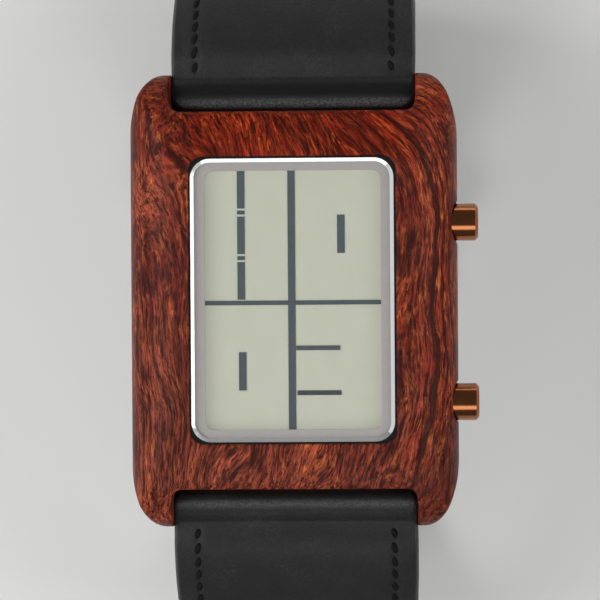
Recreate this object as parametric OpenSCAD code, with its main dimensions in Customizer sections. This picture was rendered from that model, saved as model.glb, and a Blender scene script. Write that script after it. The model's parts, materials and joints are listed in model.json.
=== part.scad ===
/* [Case] */
// Width of the wood case, across the display
case_w = 34.8; // [34:0.1:37]
// Length of the wood case over its lugs
case_l = 48; // [47.6:0.1:50]
// Sideways reach of the outer corner curve
corner_x = 3.6; // [2.5:0.1:4]
// Lengthwise reach of the outer corner curve
corner_y = 6.9; // [4:0.1:9]
// Roundness of the side edges, higher is squarer
edge_power = 9; // [6:1:14]
// Roundness of the lug tips, higher is squarer
lug_power = 8; // [6:1:12]
// Drop of the crowned top between the middle and the lug tips
crown_drop = 0.5; // [0:0.1:1]
// Length of the lugs beyond the bottom of a strap notch
lug_l = 3.8; // [3.4:0.1:4.2]
// Play of the strap between the lugs of a pair
lug_play = 0.3; // [0.2:0.05:0.4]
// Corner radius at the bottom of the strap notch
notch_r = 1; // [0.5:0.1:1.5]

/* [Case back] */
// Wood left beside the back plate
back_side = 3.6; // [3.3:0.1:3.8]
// Wood left between the back plate and a strap notch
back_end = 1.8; // [1.5:0.1:2]
// Lap of the back plate over the wood at each side of the hollow
back_lap = 1.8; // [1.7:0.1:2]
// Lap of the back plate over the wood at each end of the hollow
back_lap_end = 2.1; // [2:0.1:2.3]
// Corner radius of the back plate
back_r = 2.5; // [2:0.1:3]
// Thickness of the back plate
back_t = 1.2; // [1:0.1:1.6]
// Height of the plate below the wood
back_stand = 0.3; // [0.1:0.1:0.5]
// Screw shank diameter
screw_d = 1.2; // [1:0.1:1.3]
// Screw head diameter
screw_head_d = 2.2; // [2:0.1:2.4]
// Screw length from the plate's outer face
screw_l = 4.4; // [3:0.1:5]

/* [Crystal] */
// Corner radius of the crystal
crystal_r = 2.1; // [1.6:0.1:2.6]
// Thickness of the crystal
crystal_t = 1.6; // [1.2:0.1:2]
// Width and depth of the polished bevel
crystal_bevel = 0.4; // [0.2:0.05:0.5]
// Height of the crystal above the wood crown
crystal_stand = 0.4; // [0:0.1:0.6]
// Gap between the crystal and the wood, filled by its gasket
crystal_gap = 0.2; // [0.1:0.05:0.3]
// Corner radius of the opening in the wood
opening_r = 1.5; // [1:0.1:1.6]
// Height of the crystal gasket
gasket_h = 1.1; // [0.7:0.1:1.3]
// Width of the mask's border beside the window
border_w = 1.4; // [1.1:0.05:1.6]
// Width of the mask's border above and below the window
border_l = 1.25; // [1:0.05:1.5]
// Corner radius of the window
window_r = 0.95; // [0.5:0.05:1.5]
// Thickness of the mask
mask_t = 0.3; // [0.2:0.05:0.5]

/* [Display] */
// Thickness of each display glass
glass_t = 0.55; // [0.4:0.05:0.7]
// Gap between the glasses, which the segments fill
cell_gap = 0.1; // [0.08:0.01:0.15]
// Thickness of each polarizer
polarizer_t = 0.25; // [0.15:0.05:0.3]
// Width of the long vertical bar of the readout
bar_main = 0.78; // [0.5:0.02:1]
// Height of the long level bar of the readout
bar_cross = 0.48; // [0.3:0.02:0.7]
// Width of the short upright bars
bar_short = 0.8; // [0.5:0.02:1]
// Height of the short level bars
bar_flat = 0.5; // [0.3:0.02:0.7]
// Length of the short bars
bar_l = 4.1; // [3:0.1:4.4]
// Sideways distance of the upper bars from the long vertical bar
bar_reach = 5.4; // [5:0.1:5.8]
// Sideways place of the long vertical bar
main_x = -0.17; // [-0.5:0.01:0.5]
// Height of the long level bar over the middle
cross_y = -0.28; // [-1:0.01:1]
// Gap between the sections of the upper left bar
section_gap = 0.22; // [0.15:0.01:0.3]
// Length of the two small sections of the upper left bar
section_short = 0.42; // [0.3:0.02:0.6]

/* [Module] */
// Wall of the module frame beside the display glass, with its seat
module_wall = 0.8; // [0.7:0.05:1]
// Corner radius of the hollow
cavity_r = 3; // [2.6:0.1:3.2]
// Thickness of the wood ledge that the display presses against
ledge_t = 0.6; // [0.5:0.1:1]
// Thickness of the circuit board
board_t = 0.8; // [0.6:0.1:1]
// Thickness of the light panel
light_t = 0.95; // [0.8:0.05:1.1]
// Height of the button cell
cell_h = 1.6; // [1.2:0.1:2]
// Room between the cell and the circuit board
cell_room = 0.8; // [0.7:0.1:1]
// Thickness of the cell clamp
clamp_t = 0.2; // [0.15:0.05:0.3]
// Width of the cell clamp
clamp_w = 7; // [5:0.5:9]
// Gap between the clamp and the back plate
clamp_gap = 0.3; // [0.2:0.1:0.5]

/* [Pushers] */
// Diameter of the pusher caps
cap_d = 4; // [3.8:0.1:4.4]
// Reach of the caps beyond the case side
cap_reach = 2.4; // [1.6:0.1:3]
// Travel of a pusher
press_travel = 0.8; // [0.5:0.05:0.9]
// Distance of the upper pusher above the middle
upper_y = 8.26; // [7.5:0.1:9]
// Distance of the lower pusher below the middle
lower_y = 11.05; // [10.5:0.1:11.6]
// Diameter of the pusher stems
stem_d = 1.6; // [1.4:0.1:1.7]
// Outside diameter of the pusher tubes
tube_d = 3.4; // [3.3:0.1:3.6]
// Depth of the cap recess in the case side
cap_recess = 1.8; // [1.6:0.1:2.2]
// Wire of the pusher springs
press_wire = 0.3; // [0.2:0.05:0.35]

/* [Spring bars] */
// Diameter of the spring bar tubes
bar_d = 1.8; // [1.6:0.1:1.9]
// Diameter of the spring bar tips
tip_d = 0.9; // [0.8:0.05:1]
// Reach of the tips into the lugs
tip_reach = 1.2; // [0.9:0.1:1.5]
// Height of the lug bars above the outer face of the back
lug_bar_z = 3.4; // [3:0.1:3.8]
// Gap between the strap's fold and the notch wall
fold_gap = 0.25; // [0.2:0.05:0.4]

/* [Strap] */
// Width of the strap at the lugs
strap_w = 26; // [25.4:0.1:26]
// Narrowing of each side of the strap toward the buckle
taper = 1; // [0.5:0.1:2]
// Thickness of the outer leather and of the lining
skin_t = 1.1; // [0.9:0.05:1.2]
// Height of the padding between leather and lining
pad_t = 1.8; // [1:0.1:2.2]
// Leather round the spring bars, with the bars' play
fold_t = 0.7; // [0.6:0.05:0.8]
// Straight stretch next to each lug bar
lead = 5; // [4:0.5:7]
// Downward slope of the strap at the lugs
drop = 24; // [18:1:30]
// Radius of the bend on the buckle side
bend_r = 20; // [18:0.5:22]
// Slope of the strap's back stretch
back_slope = 10; // [8:0.5:12]
// Distance from the buckle side bend to the buckle bar
buckle_at = 6; // [5:0.5:8]
// Overlap of the loose end beyond the buckle side bend's lower end
tail_over = 17.5; // [15:0.5:22]
// Distance between the holes of the loose end
hole_pitch = 6.5; // [6:0.5:7]
// Diameter of the strap holes
hole_d = 1.8; // [1.5:0.1:2]

/* [Buckle and keepers] */
// Width of the frame's arms across the strap
arm_t = 2.2; // [1.8:0.1:2.8]
// Distance from the buckle bar to the middle of the bow
bow_at = 12.4; // [12:0.1:13]
// Width of the bow
bow_w = 2; // [1.6:0.1:2.6]
// Thickness of the buckle frame
bow_t = 1.8; // [1.4:0.1:2.2]
// Width of the tongue
tongue_w = 1.6; // [1.2:0.1:1.8]
// Thickness of the tongue
tongue_t = 1.2; // [0.9:0.1:1.3]
// Length of each keeper along the strap
keeper_w = 5; // [4:0.5:6]
// Thickness of the keepers' leather
keeper_t = 1; // [0.8:0.1:1.4]
// Distance from the buckle bar to the fixed keeper
fixed_at = 9.5; // [9:0.5:10]
// Distance from the buckle bar to the free keeper
free_at = 17; // [16.5:0.5:18]

/* [Hidden] */

// Running clearances
bore_gap = 0.05;
side_gap = 0.3;
seat_gap = 0.1;
sway_gap = 0.45;
eps = 0.01;

// Laps of the display's layers beyond the window and the crystal
glass_lap = 0.4;
glass_lap_end = 0.45;
polarizer_lap = 0.5;
polarizer_lap_end = 0.4;
rear_lap = 0.3;

// Room beside the cell, and reach of the parts on the board from its ends
cell_side = 2;
part_inset = 2.95;
post_inset = 1.4;
post_side = 3.1;
light_inset = 2.8;
strip_inset = 3.7;

// Widths and lengths, from the case's outside to the window
notch_y = case_l / 2 - lug_l;
lug_gap = strap_w + lug_play;
back_w = case_w - 2 * back_side;
back_l = 2 * (notch_y - back_end);
cavity_w = back_w - 2 * back_lap;
cavity_l = back_l - 2 * back_lap_end;
glass_w = cavity_w - 2 * module_wall;
glass_l = cavity_l - 2 * module_wall;
crystal_w = glass_w - 2 * glass_lap;
crystal_l = glass_l - 2 * glass_lap_end;
window_w = crystal_w - 2 * border_w;
window_l = crystal_l - 2 * border_l;
polarizer_w = window_w + 2 * polarizer_lap;
polarizer_l = window_l + 2 * polarizer_lap_end;
rear_glass_l = window_l + 2 * rear_lap;
cell_d = cavity_w - 2 * cell_side;
strap_w2 = strap_w - 2 * taper;
fold_r = bar_d / 2 + fold_t;

// Levels of the stack above the outer face of the back
z_clamp = back_t + clamp_gap;
z_cell = z_clamp + clamp_t;
z_board = z_cell + cell_h + cell_room;
z_light = z_board + board_t;
z_rear_pol = z_light + light_t;
z_rear_glass = z_rear_pol + polarizer_t;
z_segments = z_rear_glass + glass_t;
z_front_glass = z_segments + cell_gap;
z_ledge = z_front_glass + glass_t;
z_mask = z_ledge + ledge_t;
z_crystal = z_mask + mask_t;
z_top = z_crystal + crystal_t;
case_h = z_top - crystal_stand;
case_x = case_w / 2;
case_y = case_l / 2;
cavity_x = cavity_w / 2;

// Module pieces
frame_w = cavity_w - 2 * seat_gap;
frame_l = cavity_l - 2 * seat_gap;
board_w = glass_w - 0.1;
board_l = glass_l - 0.1;
light_w = glass_w - 1.8;
light_l = glass_l - 2 * light_inset;
strip_y = glass_l / 2 - 0.8;
strip_w = 1;
strip_l = glass_w - 2 * strip_inset;
post_x = board_w / 2 - post_side;
post_y = board_l / 2 - post_inset;
post_d = 1;
post_head_d = 1.8;
post_head_h = 0.5;
post_depth = 0.9;
component_y = board_l / 2 - part_inset;

// Back gasket
seal_in = 0.35;
seal_out = seal_in + 0.6;
seal_h = 0.4;

// Pushers
press_z = z_board + board_t / 2;
recess_x = case_x - cap_recess;
cap_x = recess_x + press_travel + 0.2;
cap_end = case_x + cap_reach;
spring_d = cap_d - 1.1;
spring_in = recess_x - 1.6;
spring_out = cap_x + 1.2;
clip_t = 0.3;
clip_x = cavity_x - bore_gap - clip_t;
stem_x = clip_x - 0.25;
seal_t = 0.5;
seal_x = cavity_x + press_travel + 0.15;
leaf_t = 0.12;
leaf_x = stem_x - press_travel - bore_gap - leaf_t;
finger_w = 3.2;

// Spring bars
bar_y = notch_y + fold_gap + fold_r;
bar_half = lug_gap / 2 - 0.35;
buckle_gap = strap_w2 + 0.6;
buckle_half = buckle_gap / 2 - 0.3;
lip = 0.5;
bar_bore = bar_d - 0.5;
tip_shank = 6;
tip_travel = tip_reach + 0.2;

// Strap route, as a reference line through the bars
lead_y = bar_y + lead * cos(drop);
lead_z = lug_bar_z - lead * sin(drop);
turn_cos = cos(back_slope) + cos(drop);
bend_y = lead_y - bend_r * sin(drop);
bend_z = lead_z - bend_r * cos(drop);
back_y = bend_y + bend_r * sin(back_slope);
back_z = bend_z - bend_r * cos(back_slope);
top_turn = 180 - drop - back_slope;
low_turn = 180 - drop + back_slope;
low_r = (lead_z - back_z + tan(back_slope) * (back_y + lead_y))
    / (turn_cos + (sin(drop) + sin(back_slope)) * tan(back_slope));
low_y = lead_y - low_r * sin(drop);
low_z = lead_z - low_r * cos(drop);
back_l_line = (back_y + low_y - low_r * sin(back_slope)) / cos(back_slope);
top_arc = bend_r * top_turn * PI / 180;
low_arc = low_r * low_turn * PI / 180;
top_len = lead + top_arc + buckle_at;
tail_len = lead + low_arc + back_l_line + tail_over;
lift = fold_r + sway_gap + skin_t;
rise_from = 10.6;
rise_to = 3;
pad_from = fold_r + 0.1;
pad_full = pad_from + 1.3;
swell_from = -0.2;
pad_fall = 10;
pad_end = 33;
taper_depth = 24;
cross_v = (rise_from + rise_to) / 2;
tongue_slope = 42;
tongue_low = -0.05;
tongue_high = skin_t + sway_gap + bow_t + bore_gap + tongue_t / 2;
stack_out = lift + skin_t + sway_gap;
stack_in = -skin_t - sway_gap;

// Points along an ellipse quarter
function quarter(x, y, rx, ry, from) =
    [for (i = [0 : 16]) let (a = from + 90 * i / 16) [x + rx * cos(a), y + ry * sin(a)]];

// Squared-off half oval, from its right end to its left end
function brow(half, up, power, sign) =
    [for (i = [0 : 48]) let (a = 180 * i / 48, c = cos(a))
        let (u = (c < 0 ? -1 : 1) * pow(abs(c), 0.5))
        [half * u, sign * up * sqrt(max(0, 1 - pow(abs(u), power)))]];

function reversed(points) = [for (i = [len(points) - 1 : -1 : 0]) points[i]];

// Height of the padding at a distance from the lug bar
function padding(s) =
    s <= swell_from || s >= pad_end ? 0
    : s < pad_full ? pad_t * (1 - cos(180 * (s - swell_from) / (pad_full - swell_from))) / 2
    : s < pad_fall ? pad_t
    : pad_t * (1 + cos(180 * (s - pad_fall) / (pad_end - pad_fall))) / 2;

// Lift of the loose end over the buckle bar, at a distance before the bar
function rise(v) =
    v >= rise_from ? 0 : v <= rise_to ? lift
    : lift * (1 + cos(180 * (v - rise_to) / (rise_from - rise_to))) / 2;
function rise_slope(v) =
    v >= rise_from || v <= rise_to ? 0
    : -lift * PI / (rise_from - rise_to) * sin(180 * (v - rise_to) / (rise_from - rise_to)) / 2;

function on_back(u, w) = [
    back_y - u * cos(back_slope) + w * sin(back_slope),
    back_z - u * sin(back_slope) - w * cos(back_slope)
];

// A point beside the reference line of each strap half
function top_at(s, n) =
    s <= lead
        ? [bar_y + s * cos(drop) + n * sin(drop), lug_bar_z - s * sin(drop) + n * cos(drop)]
    : s <= lead + top_arc
        ? let (a = drop + (s - lead) / bend_r * 180 / PI)
            [bend_y + (bend_r + n) * sin(a), bend_z + (bend_r + n) * cos(a)]
    : on_back(s - lead - top_arc, n);
function tail_angle(u) = back_slope - u / bend_r * 180 / PI;
function tail_at(u, n) =
    u < 0
        ? [bend_y + (bend_r + lift + n) * sin(tail_angle(u)), bend_z - (bend_r + lift + n) * cos(tail_angle(u))]
    : let (m = rise_slope(u - buckle_at), k = sqrt(1 + m * m))
        on_back(u - n * m / k, rise(u - buckle_at) + n / k);
function low_at(s, n) =
    s <= lead
        ? [-(bar_y + s * cos(drop) + n * sin(drop)), lug_bar_z - s * sin(drop) + n * cos(drop)]
    : s <= lead + low_arc
        ? let (a = drop + (s - lead) / low_r * 180 / PI)
            [-(low_y + (low_r + n) * sin(a)), low_z + (low_r + n) * cos(a)]
    : tail_at(back_l_line - (s - lead - low_arc), n);

// Distances at which a strap half is drawn, closer together at the fold
function steps(from, to, step) =
    [for (i = [0 : ceil((to - from) / step)]) from + (to - from) * i / ceil((to - from) / step)];
near_steps = steps(pad_from, pad_full, 0.3);
fold_steps = steps(0.6, pad_from - 0.2, 0.3);
far_steps = steps(pad_full, pad_end, 1.6);
top_steps = concat(near_steps, far_steps, steps(pad_end, top_len - fold_r - 0.1, 1.8));
low_steps = concat(near_steps, far_steps, steps(pad_end, tail_len, 1.5));
pad_steps = concat(near_steps, far_steps);

// Flat shapes
module rounded(w, l, r) {
    square([w - 2 * r, l], center = true);
    square([w, l - 2 * r], center = true);
    for (x = [-1, 1], y = [-1, 1])
        translate([x * (w / 2 - r), y * (l / 2 - r)]) circle(r, $fn = 48);
}

module plate(w, l, r, z, t) {
    translate([0, 0, z]) linear_extrude(t) rounded(w, l, r);
}

// A shape drawn across the Y and Z axes, run out along X
module along_x(w) {
    rotate([90, 0, 90]) linear_extrude(w, center = true) children();
}

module x_rod(d, from, to) {
    translate([from, 0, 0]) rotate([0, 90, 0]) cylinder(d = d, h = to - from, $fn = 48);
}

// Round wire wound along X
module coil(mean_d, wire, from, to, turns) {
    sides = 6;
    per_turn = 10;
    rings = turns * per_turn;
    rise_x = to - from - wire;
    points = [for (i = [0 : rings], k = [0 : sides - 1])
        let (a = 360 * i / per_turn, b = 360 * k / sides, r = mean_d / 2 + wire / 2 * cos(b))
        [from + wire / 2 + rise_x * i / rings + wire / 2 * sin(b), r * cos(a), r * sin(a)]];
    skin = [for (i = [0 : rings - 1], k = [0 : sides - 1], half = [0, 1])
        let (n = (k + 1) % sides, p = i * sides, q = p + sides)
        half == 0 ? [p + k, q + k, q + n] : [p + k, q + n, p + n]];
    last = rings * sides;
    ends = [
        [for (k = [0 : sides - 1]) k],
        [for (k = [sides - 1 : -1 : 0]) last + k]
    ];
    polyhedron(points, concat(skin, ends), convexity = 10);
}

// Wood case
module wood_blank() {
    mid_z = lug_bar_z + 0.6;
    low = mid_z - back_stand;
    intersection() {
        linear_extrude(z_top) polygon(concat(
            quarter(case_x - corner_x, case_y - corner_y, corner_x, corner_y, 0),
            quarter(-case_x + corner_x, case_y - corner_y, corner_x, corner_y, 90),
            quarter(-case_x + corner_x, -case_y + corner_y, corner_x, corner_y, 180),
            quarter(case_x - corner_x, -case_y + corner_y, corner_x, corner_y, 270)
        ));
        translate([0, 0, mid_z]) along_x(case_w + 2) polygon(concat(
            [for (p = brow(case_y, case_h - mid_z, lug_power, 1))
                [p[0], p[1] - crown_drop * pow(p[0] / case_y, 2)]],
            [for (p = reversed(brow(case_y, low, lug_power, -1)))
                [p[0], p[1] - (abs(p[0]) > case_y - eps ? crown_drop : 0)]]
        ));
        translate([0, 0, mid_z]) rotate([90, 0, 0]) linear_extrude(case_l + 2, center = true)
            polygon(concat(
                brow(case_x, case_h - mid_z, edge_power, 1),
                reversed(brow(case_x, low, edge_power, -1))
            ));
    }
}

module strap_notch() {
    reach = case_y - notch_y + 2;
    translate([0, notch_y + reach / 2, -1]) linear_extrude(z_top + 2) {
        translate([0, notch_r / 2]) square([lug_gap, reach - notch_r], center = true);
        square([lug_gap - 2 * notch_r, reach], center = true);
        for (x = [-1, 1])
            translate([x * (lug_gap / 2 - notch_r), notch_r - reach / 2]) circle(notch_r, $fn = 48);
    }
}

module wood_case() {
    color("#6e3a2e") difference() {
        wood_blank();
        strap_notch();
        mirror([0, 1, 0]) strap_notch();
        plate(crystal_w + 2 * crystal_gap, crystal_l + 2 * crystal_gap, opening_r, z_mask, z_top);
        plate(polarizer_w + 0.2, polarizer_l + 0.2, opening_r, z_ledge - 1, ledge_t + 2);
        plate(cavity_w, cavity_l, cavity_r, -1, z_ledge + 1);
        plate(back_w + 0.2, back_l + 0.2, back_r + 0.1, -1, back_t + 1);
        back_seal_shape();
        screw_places() translate([0, 0, -1]) cylinder(d = screw_d, h = screw_l + 1, $fn = 32);
        for (y = [upper_y, -lower_y]) translate([0, y, press_z]) {
            x_rod(tube_d, cavity_x - 1, recess_x + eps);
            x_rod(cap_d + 0.5, recess_x, case_x + 2);
        }
        for (y = [bar_y, -bar_y]) translate([0, y, lug_bar_z])
            x_rod(tip_d + 2 * bore_gap, -lug_gap / 2 - tip_reach - 0.1, lug_gap / 2 + tip_reach + 0.1);
    }
}

// Case back, its screws and its gasket
module screw_places() {
    screw_out = (cavity_r + seal_out + screw_d / 2 + bore_gap) * cos(45) - cavity_r;
    for (x = [-1, 1], y = [-1, 1])
        translate([x * (cavity_w / 2 + screw_out), y * (cavity_l / 2 + screw_out), 0]) children();
}

module case_back() {
    color("#b9b9b4") difference() {
        union() {
            plate(back_w, back_l, back_r, 0.3, back_t - 0.3);
            plate(back_w - 0.6, back_l - 0.6, back_r - 0.3, 0, 0.3);
        }
        screw_places() {
            translate([0, 0, -1]) cylinder(d = screw_d, h = back_t + 2, $fn = 32);
            translate([0, 0, -1]) cylinder(d = screw_head_d, h = 1.6, $fn = 32);
        }
    }
}

module case_back_screws() {
    color("#cfcfca") screw_places() difference() {
        union() {
            translate([0, 0, 0.08]) cylinder(d = screw_head_d, h = 0.52, $fn = 32);
            translate([0, 0, 0.6]) cylinder(d = screw_d, h = screw_l - 0.6, $fn = 32);
        }
        for (a = [0, 90]) rotate(a) translate([0, 0, 0.2]) cube([screw_head_d * 0.6, 0.28, 0.5], center = true);
    }
}

module back_seal_shape() {
    difference() {
        plate(cavity_w + 2 * seal_out, cavity_l + 2 * seal_out, cavity_r + seal_out, back_t, seal_h);
        plate(cavity_w + 2 * seal_in, cavity_l + 2 * seal_in, cavity_r + seal_in, back_t - 1, seal_h + 2);
    }
}

module case_back_gasket() {
    color("#1b1b1b") back_seal_shape();
}

// Crystal, gasket and mask
module crystal() {
    rim = crystal_t - crystal_bevel;
    cx = crystal_w / 2 - crystal_r;
    cy = crystal_l / 2 - crystal_r;
    color("#dfe6e6", 0.3) {
        plate(crystal_w, crystal_l, crystal_r, z_crystal, rim);
        translate([0, 0, z_crystal + rim]) {
            rotate([90, 0, 0]) linear_extrude(2 * cy, center = true) bevel_section(crystal_w / 2);
            along_x(2 * cx) bevel_section(crystal_l / 2);
            for (x = [-cx, cx], y = [-cy, cy]) translate([x, y, 0])
                cylinder(r1 = crystal_r, r2 = crystal_r - crystal_bevel, h = crystal_bevel, $fn = 48);
        }
    }
}

module bevel_section(half) {
    top = half - crystal_bevel;
    polygon([[-half, 0], [half, 0], [top, crystal_bevel], [-top, crystal_bevel]]);
}

module crystal_gasket() {
    color("#15120f") difference() {
        plate(crystal_w + 2 * crystal_gap, crystal_l + 2 * crystal_gap, opening_r, z_mask, gasket_h);
        plate(crystal_w, crystal_l, crystal_r, z_mask - 1, gasket_h + 2);
    }
}

module display_mask() {
    color("#959290") difference() {
        plate(crystal_w, crystal_l, crystal_r, z_mask, mask_t);
        plate(window_w, window_l, window_r, z_mask - 1, mask_t + 2);
    }
}

// Display cell
module front_polarizer() {
    color("#bdbfae", 0.3) plate(polarizer_w, polarizer_l, opening_r - 0.1, z_ledge, polarizer_t);
}

module lcd_front_glass() {
    color("#c8d0c4", 0.35) plate(glass_w, glass_l, 0.3, z_front_glass, glass_t);
}

module lcd_rear_glass() {
    color("#c8d0c4", 0.35) plate(glass_w, rear_glass_l, 0.3, z_rear_glass, glass_t);
}

module lcd_seal() {
    color("#8d8f86") difference() {
        plate(glass_w - 0.4, rear_glass_l - 0.1, 0.3, z_segments, cell_gap);
        plate(glass_w - 1.6, rear_glass_l - 0.4, 0.2, z_segments - 1, cell_gap + 2);
    }
}

module segment(x, y, w, l) {
    translate([x, y, z_segments + cell_gap / 2]) cube([w, l, cell_gap], center = true);
}

// The long bars cross near the middle, and the short bars stand around them as plain time marks
module lcd_segments() {
    half_l = rear_glass_l / 2 - 0.25;
    half_w = glass_w / 2 - 1.4;
    split = 0.12;
    side_l = half_l - cross_y - bar_cross / 2 - split;
    piece_l = (side_l - 2 * section_short - 4 * section_gap) / 3;
    pitch = piece_l + section_short + 2 * section_gap;
    color("#47525a") translate([main_x, 0, 0]) {
        segment(0, 0, bar_main, 2 * half_l);
        segment(0, cross_y, 2 * half_w, bar_cross);
        for (i = [0 : 2]) segment(-bar_reach, half_l - piece_l / 2 - i * pitch, bar_short, piece_l);
        for (i = [0 : 1])
            segment(-bar_reach, half_l - piece_l - section_gap - section_short / 2 - i * pitch, bar_short, section_short);
        segment(bar_reach - 0.1, window_l / 4 + 0.15, bar_short, bar_l);
        segment(-bar_reach + 0.1, -window_l / 4 - 0.7, bar_short, bar_l);
        segment(bar_l / 2 + 0.75, -window_l / 6 - 0.53, bar_l + 0.6, bar_flat);
        segment(bar_l / 2 + 0.85, -window_l / 3 - 0.73, bar_l + 0.6, bar_flat);
    }
}

module rear_polarizer() {
    color("#bfc0b0") plate(light_w, rear_glass_l - 0.2, 0.5, z_rear_pol, polarizer_t);
}

module backlight_panel() {
    color("#e9ead9") plate(light_w, light_l, 0.5, z_light, light_t);
}

// Module frame, board and what the board carries
module frame_posts() {
    for (x = [-1, 1], y = [-1, 1]) translate([x * post_x, y * post_y, 0]) children();
}

module module_frame() {
    color("#d9d9d2") difference() {
        plate(frame_w, frame_l, cavity_r - seat_gap, back_t, z_ledge - back_t);
        plate(glass_w + 0.1, glass_l + 0.1, 0.3, z_rear_glass, z_top);
        plate(light_w + 0.1, light_l + 0.1, 0.5, z_board, z_top);
        plate(light_w + 0.1, rear_glass_l - 0.1, 0.5, z_rear_pol, z_top);
        plate(board_w + 0.1, board_l + 0.1, 0.3, 0, z_light);
        for (y = [-strip_y, strip_y])
            translate([0, y, z_rear_glass]) cube([strip_l + 0.1, strip_w + 0.1, 4], center = true);
        frame_posts() cylinder(d = post_d, h = z_light + post_depth, $fn = 32);
        for (y = [upper_y, -lower_y]) translate([leaf_x - 0.3 + 2, y, press_z])
            cube([4, finger_w, 2.9], center = true);
    }
}

module contact_strips() {
    color("#a8808a") for (y = [-strip_y, strip_y])
        translate([-strip_l / 2, y - strip_w / 2, z_light]) cube([strip_l, strip_w, z_front_glass - z_light]);
}

module circuit_board() {
    color("#2f6b3f") difference() {
        plate(board_w, board_l, 0.3, z_board, board_t);
        frame_posts() cylinder(d = post_d, h = z_top, $fn = 32);
        for (y = [upper_y, -lower_y]) translate([leaf_x - 0.5 + 2, y, press_z])
            cube([4, finger_w - 0.6, 3], center = true);
    }
}

module driver_chip() {
    chip_w = 5;
    chip_l = 3.2;
    chip_h = 0.6;
    pin_pitch = 0.65;
    pin_w = 0.24;
    pin_l = 0.2;
    color("#202024") translate([0, component_y, z_board]) {
        translate([0, 0, -chip_h / 2]) cube([chip_w, chip_l, chip_h], center = true);
        for (i = [-3 : 3], side = [-1, 1])
            translate([i * pin_pitch, side * (chip_l + pin_l) / 2, -pin_l / 2])
                cube([pin_w, pin_l, pin_l], center = true);
    }
}

module timing_crystal() {
    can_d = 1.7;
    can_l = 5;
    color("#c9ccd0") translate([-3, -component_y - 0.6, z_board - can_d / 2]) x_rod(can_d, 0, can_l);
}

module board_components() {
    part_w = 1.6;
    part_l = 0.8;
    part_h = 0.7;
    color("#b08a58") for (p = [[5, 1], [7.2, 1], [-5, 1], [-7.2, 1], [4.4, -1], [6.6, -1], [-5.6, -1]])
        translate([p[0], p[1] * component_y, z_board - part_h / 2]) cube([part_w, part_l, part_h], center = true);
}

module battery() {
    color("#c4c5c0") translate([0, 0, z_cell]) {
        cylinder(d = cell_d, h = cell_h * 0.75, $fn = 96);
        translate([0, 0, cell_h * 0.75]) cylinder(d = cell_d - 2.4, h = cell_h * 0.25, $fn = 96);
    }
}

module battery_clamp() {
    half = cell_d / 2 + 0.6;
    color("#b8b09a") rotate([90, 0, 0]) linear_extrude(clamp_w, center = true) {
        polygon([
            [-half, z_clamp], [half, z_clamp], [half, z_board], [half - clamp_t, z_board],
            [half - clamp_t, z_cell], [clamp_t - half, z_cell], [clamp_t - half, z_board], [-half, z_board]
        ]);
    }
}

module battery_spring() {
    reach = 4;
    leaf = 0.15;
    sag = z_board - z_cell - cell_h - leaf;
    color("#c9a24a") rotate([90, 0, 0]) linear_extrude(2.4, center = true) polygon(concat(
        [for (i = [0 : 12]) [reach * (i / 6 - 1), z_board - sag * sin(15 * i)]],
        [for (i = [12 : -1 : 0]) [reach * (i / 6 - 1), z_board - leaf - sag * sin(15 * i)]]
    ));
}

module module_screws() {
    color("#cfcfca") frame_posts() {
        translate([0, 0, z_board - post_head_h]) cylinder(d = post_head_d, h = post_head_h, $fn = 32);
        translate([0, 0, z_board]) cylinder(d = post_d, h = board_t + post_depth, $fn = 32);
    }
}

module switch_contacts() {
    color("#c9a24a") for (y = [upper_y, -lower_y]) translate([0, y, 0])
        rotate([90, 0, 0]) linear_extrude(1.8, center = true) polygon([
            [leaf_x - 1.4, z_board - leaf_t], [leaf_x + leaf_t, z_board - leaf_t],
            [leaf_x + leaf_t, press_z + 0.7], [leaf_x, press_z + 0.7],
            [leaf_x, z_board], [leaf_x - 1.4, z_board]
        ]);
}

// Pushers
module press_tube(y) {
    color("#9a8a74") translate([0, y, press_z]) difference() {
        x_rod(tube_d, cavity_x, recess_x);
        x_rod(stem_d + 2 * bore_gap, cavity_x - 1, recess_x + 1);
        x_rod(spring_d, spring_in, recess_x + 1);
    }
}

module pusher(y) {
    bevel = 0.3;
    color("#b06a48") translate([0, y, press_z]) difference() {
        union() {
            x_rod(cap_d, cap_x, cap_end - bevel);
            translate([cap_end - bevel, 0, 0]) rotate([0, 90, 0])
                cylinder(d1 = cap_d, d2 = cap_d - 2 * bevel, h = bevel, $fn = 48);
            x_rod(stem_d, stem_x, cap_x + eps);
        }
        difference() {
            x_rod(spring_d, cap_x - 1, spring_out);
            x_rod(stem_d, cap_x - 2, spring_out + 1);
        }
        difference() {
            union() {
                x_rod(stem_d + 1, clip_x, clip_x + clip_t);
                x_rod(stem_d + 1, seal_x, seal_x + seal_t);
            }
            x_rod(stem_d - 0.5, clip_x - 1, seal_x + 1);
        }
    }
}

module press_clip(y) {
    color("#8f8f8c") translate([0, y, press_z]) difference() {
        x_rod(stem_d + 1, clip_x, clip_x + clip_t);
        x_rod(stem_d - 0.5, clip_x - 1, clip_x + 1);
        translate([clip_x + clip_t / 2, 0, -stem_d]) cube([1, stem_d - 0.7, 2 * stem_d], center = true);
    }
}

module press_seal(y) {
    color("#141414") translate([0, y, press_z]) difference() {
        x_rod(stem_d + 2 * bore_gap - 0.02, seal_x, seal_x + seal_t);
        x_rod(stem_d - 0.5, seal_x - 1, seal_x + 1);
    }
}

module press_spring(y) {
    mean = (stem_d + spring_d) / 2;
    color("#a9a9a4") translate([0, y, press_z]) coil(mean, press_wire, spring_in, spring_out, 6);
}

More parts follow.
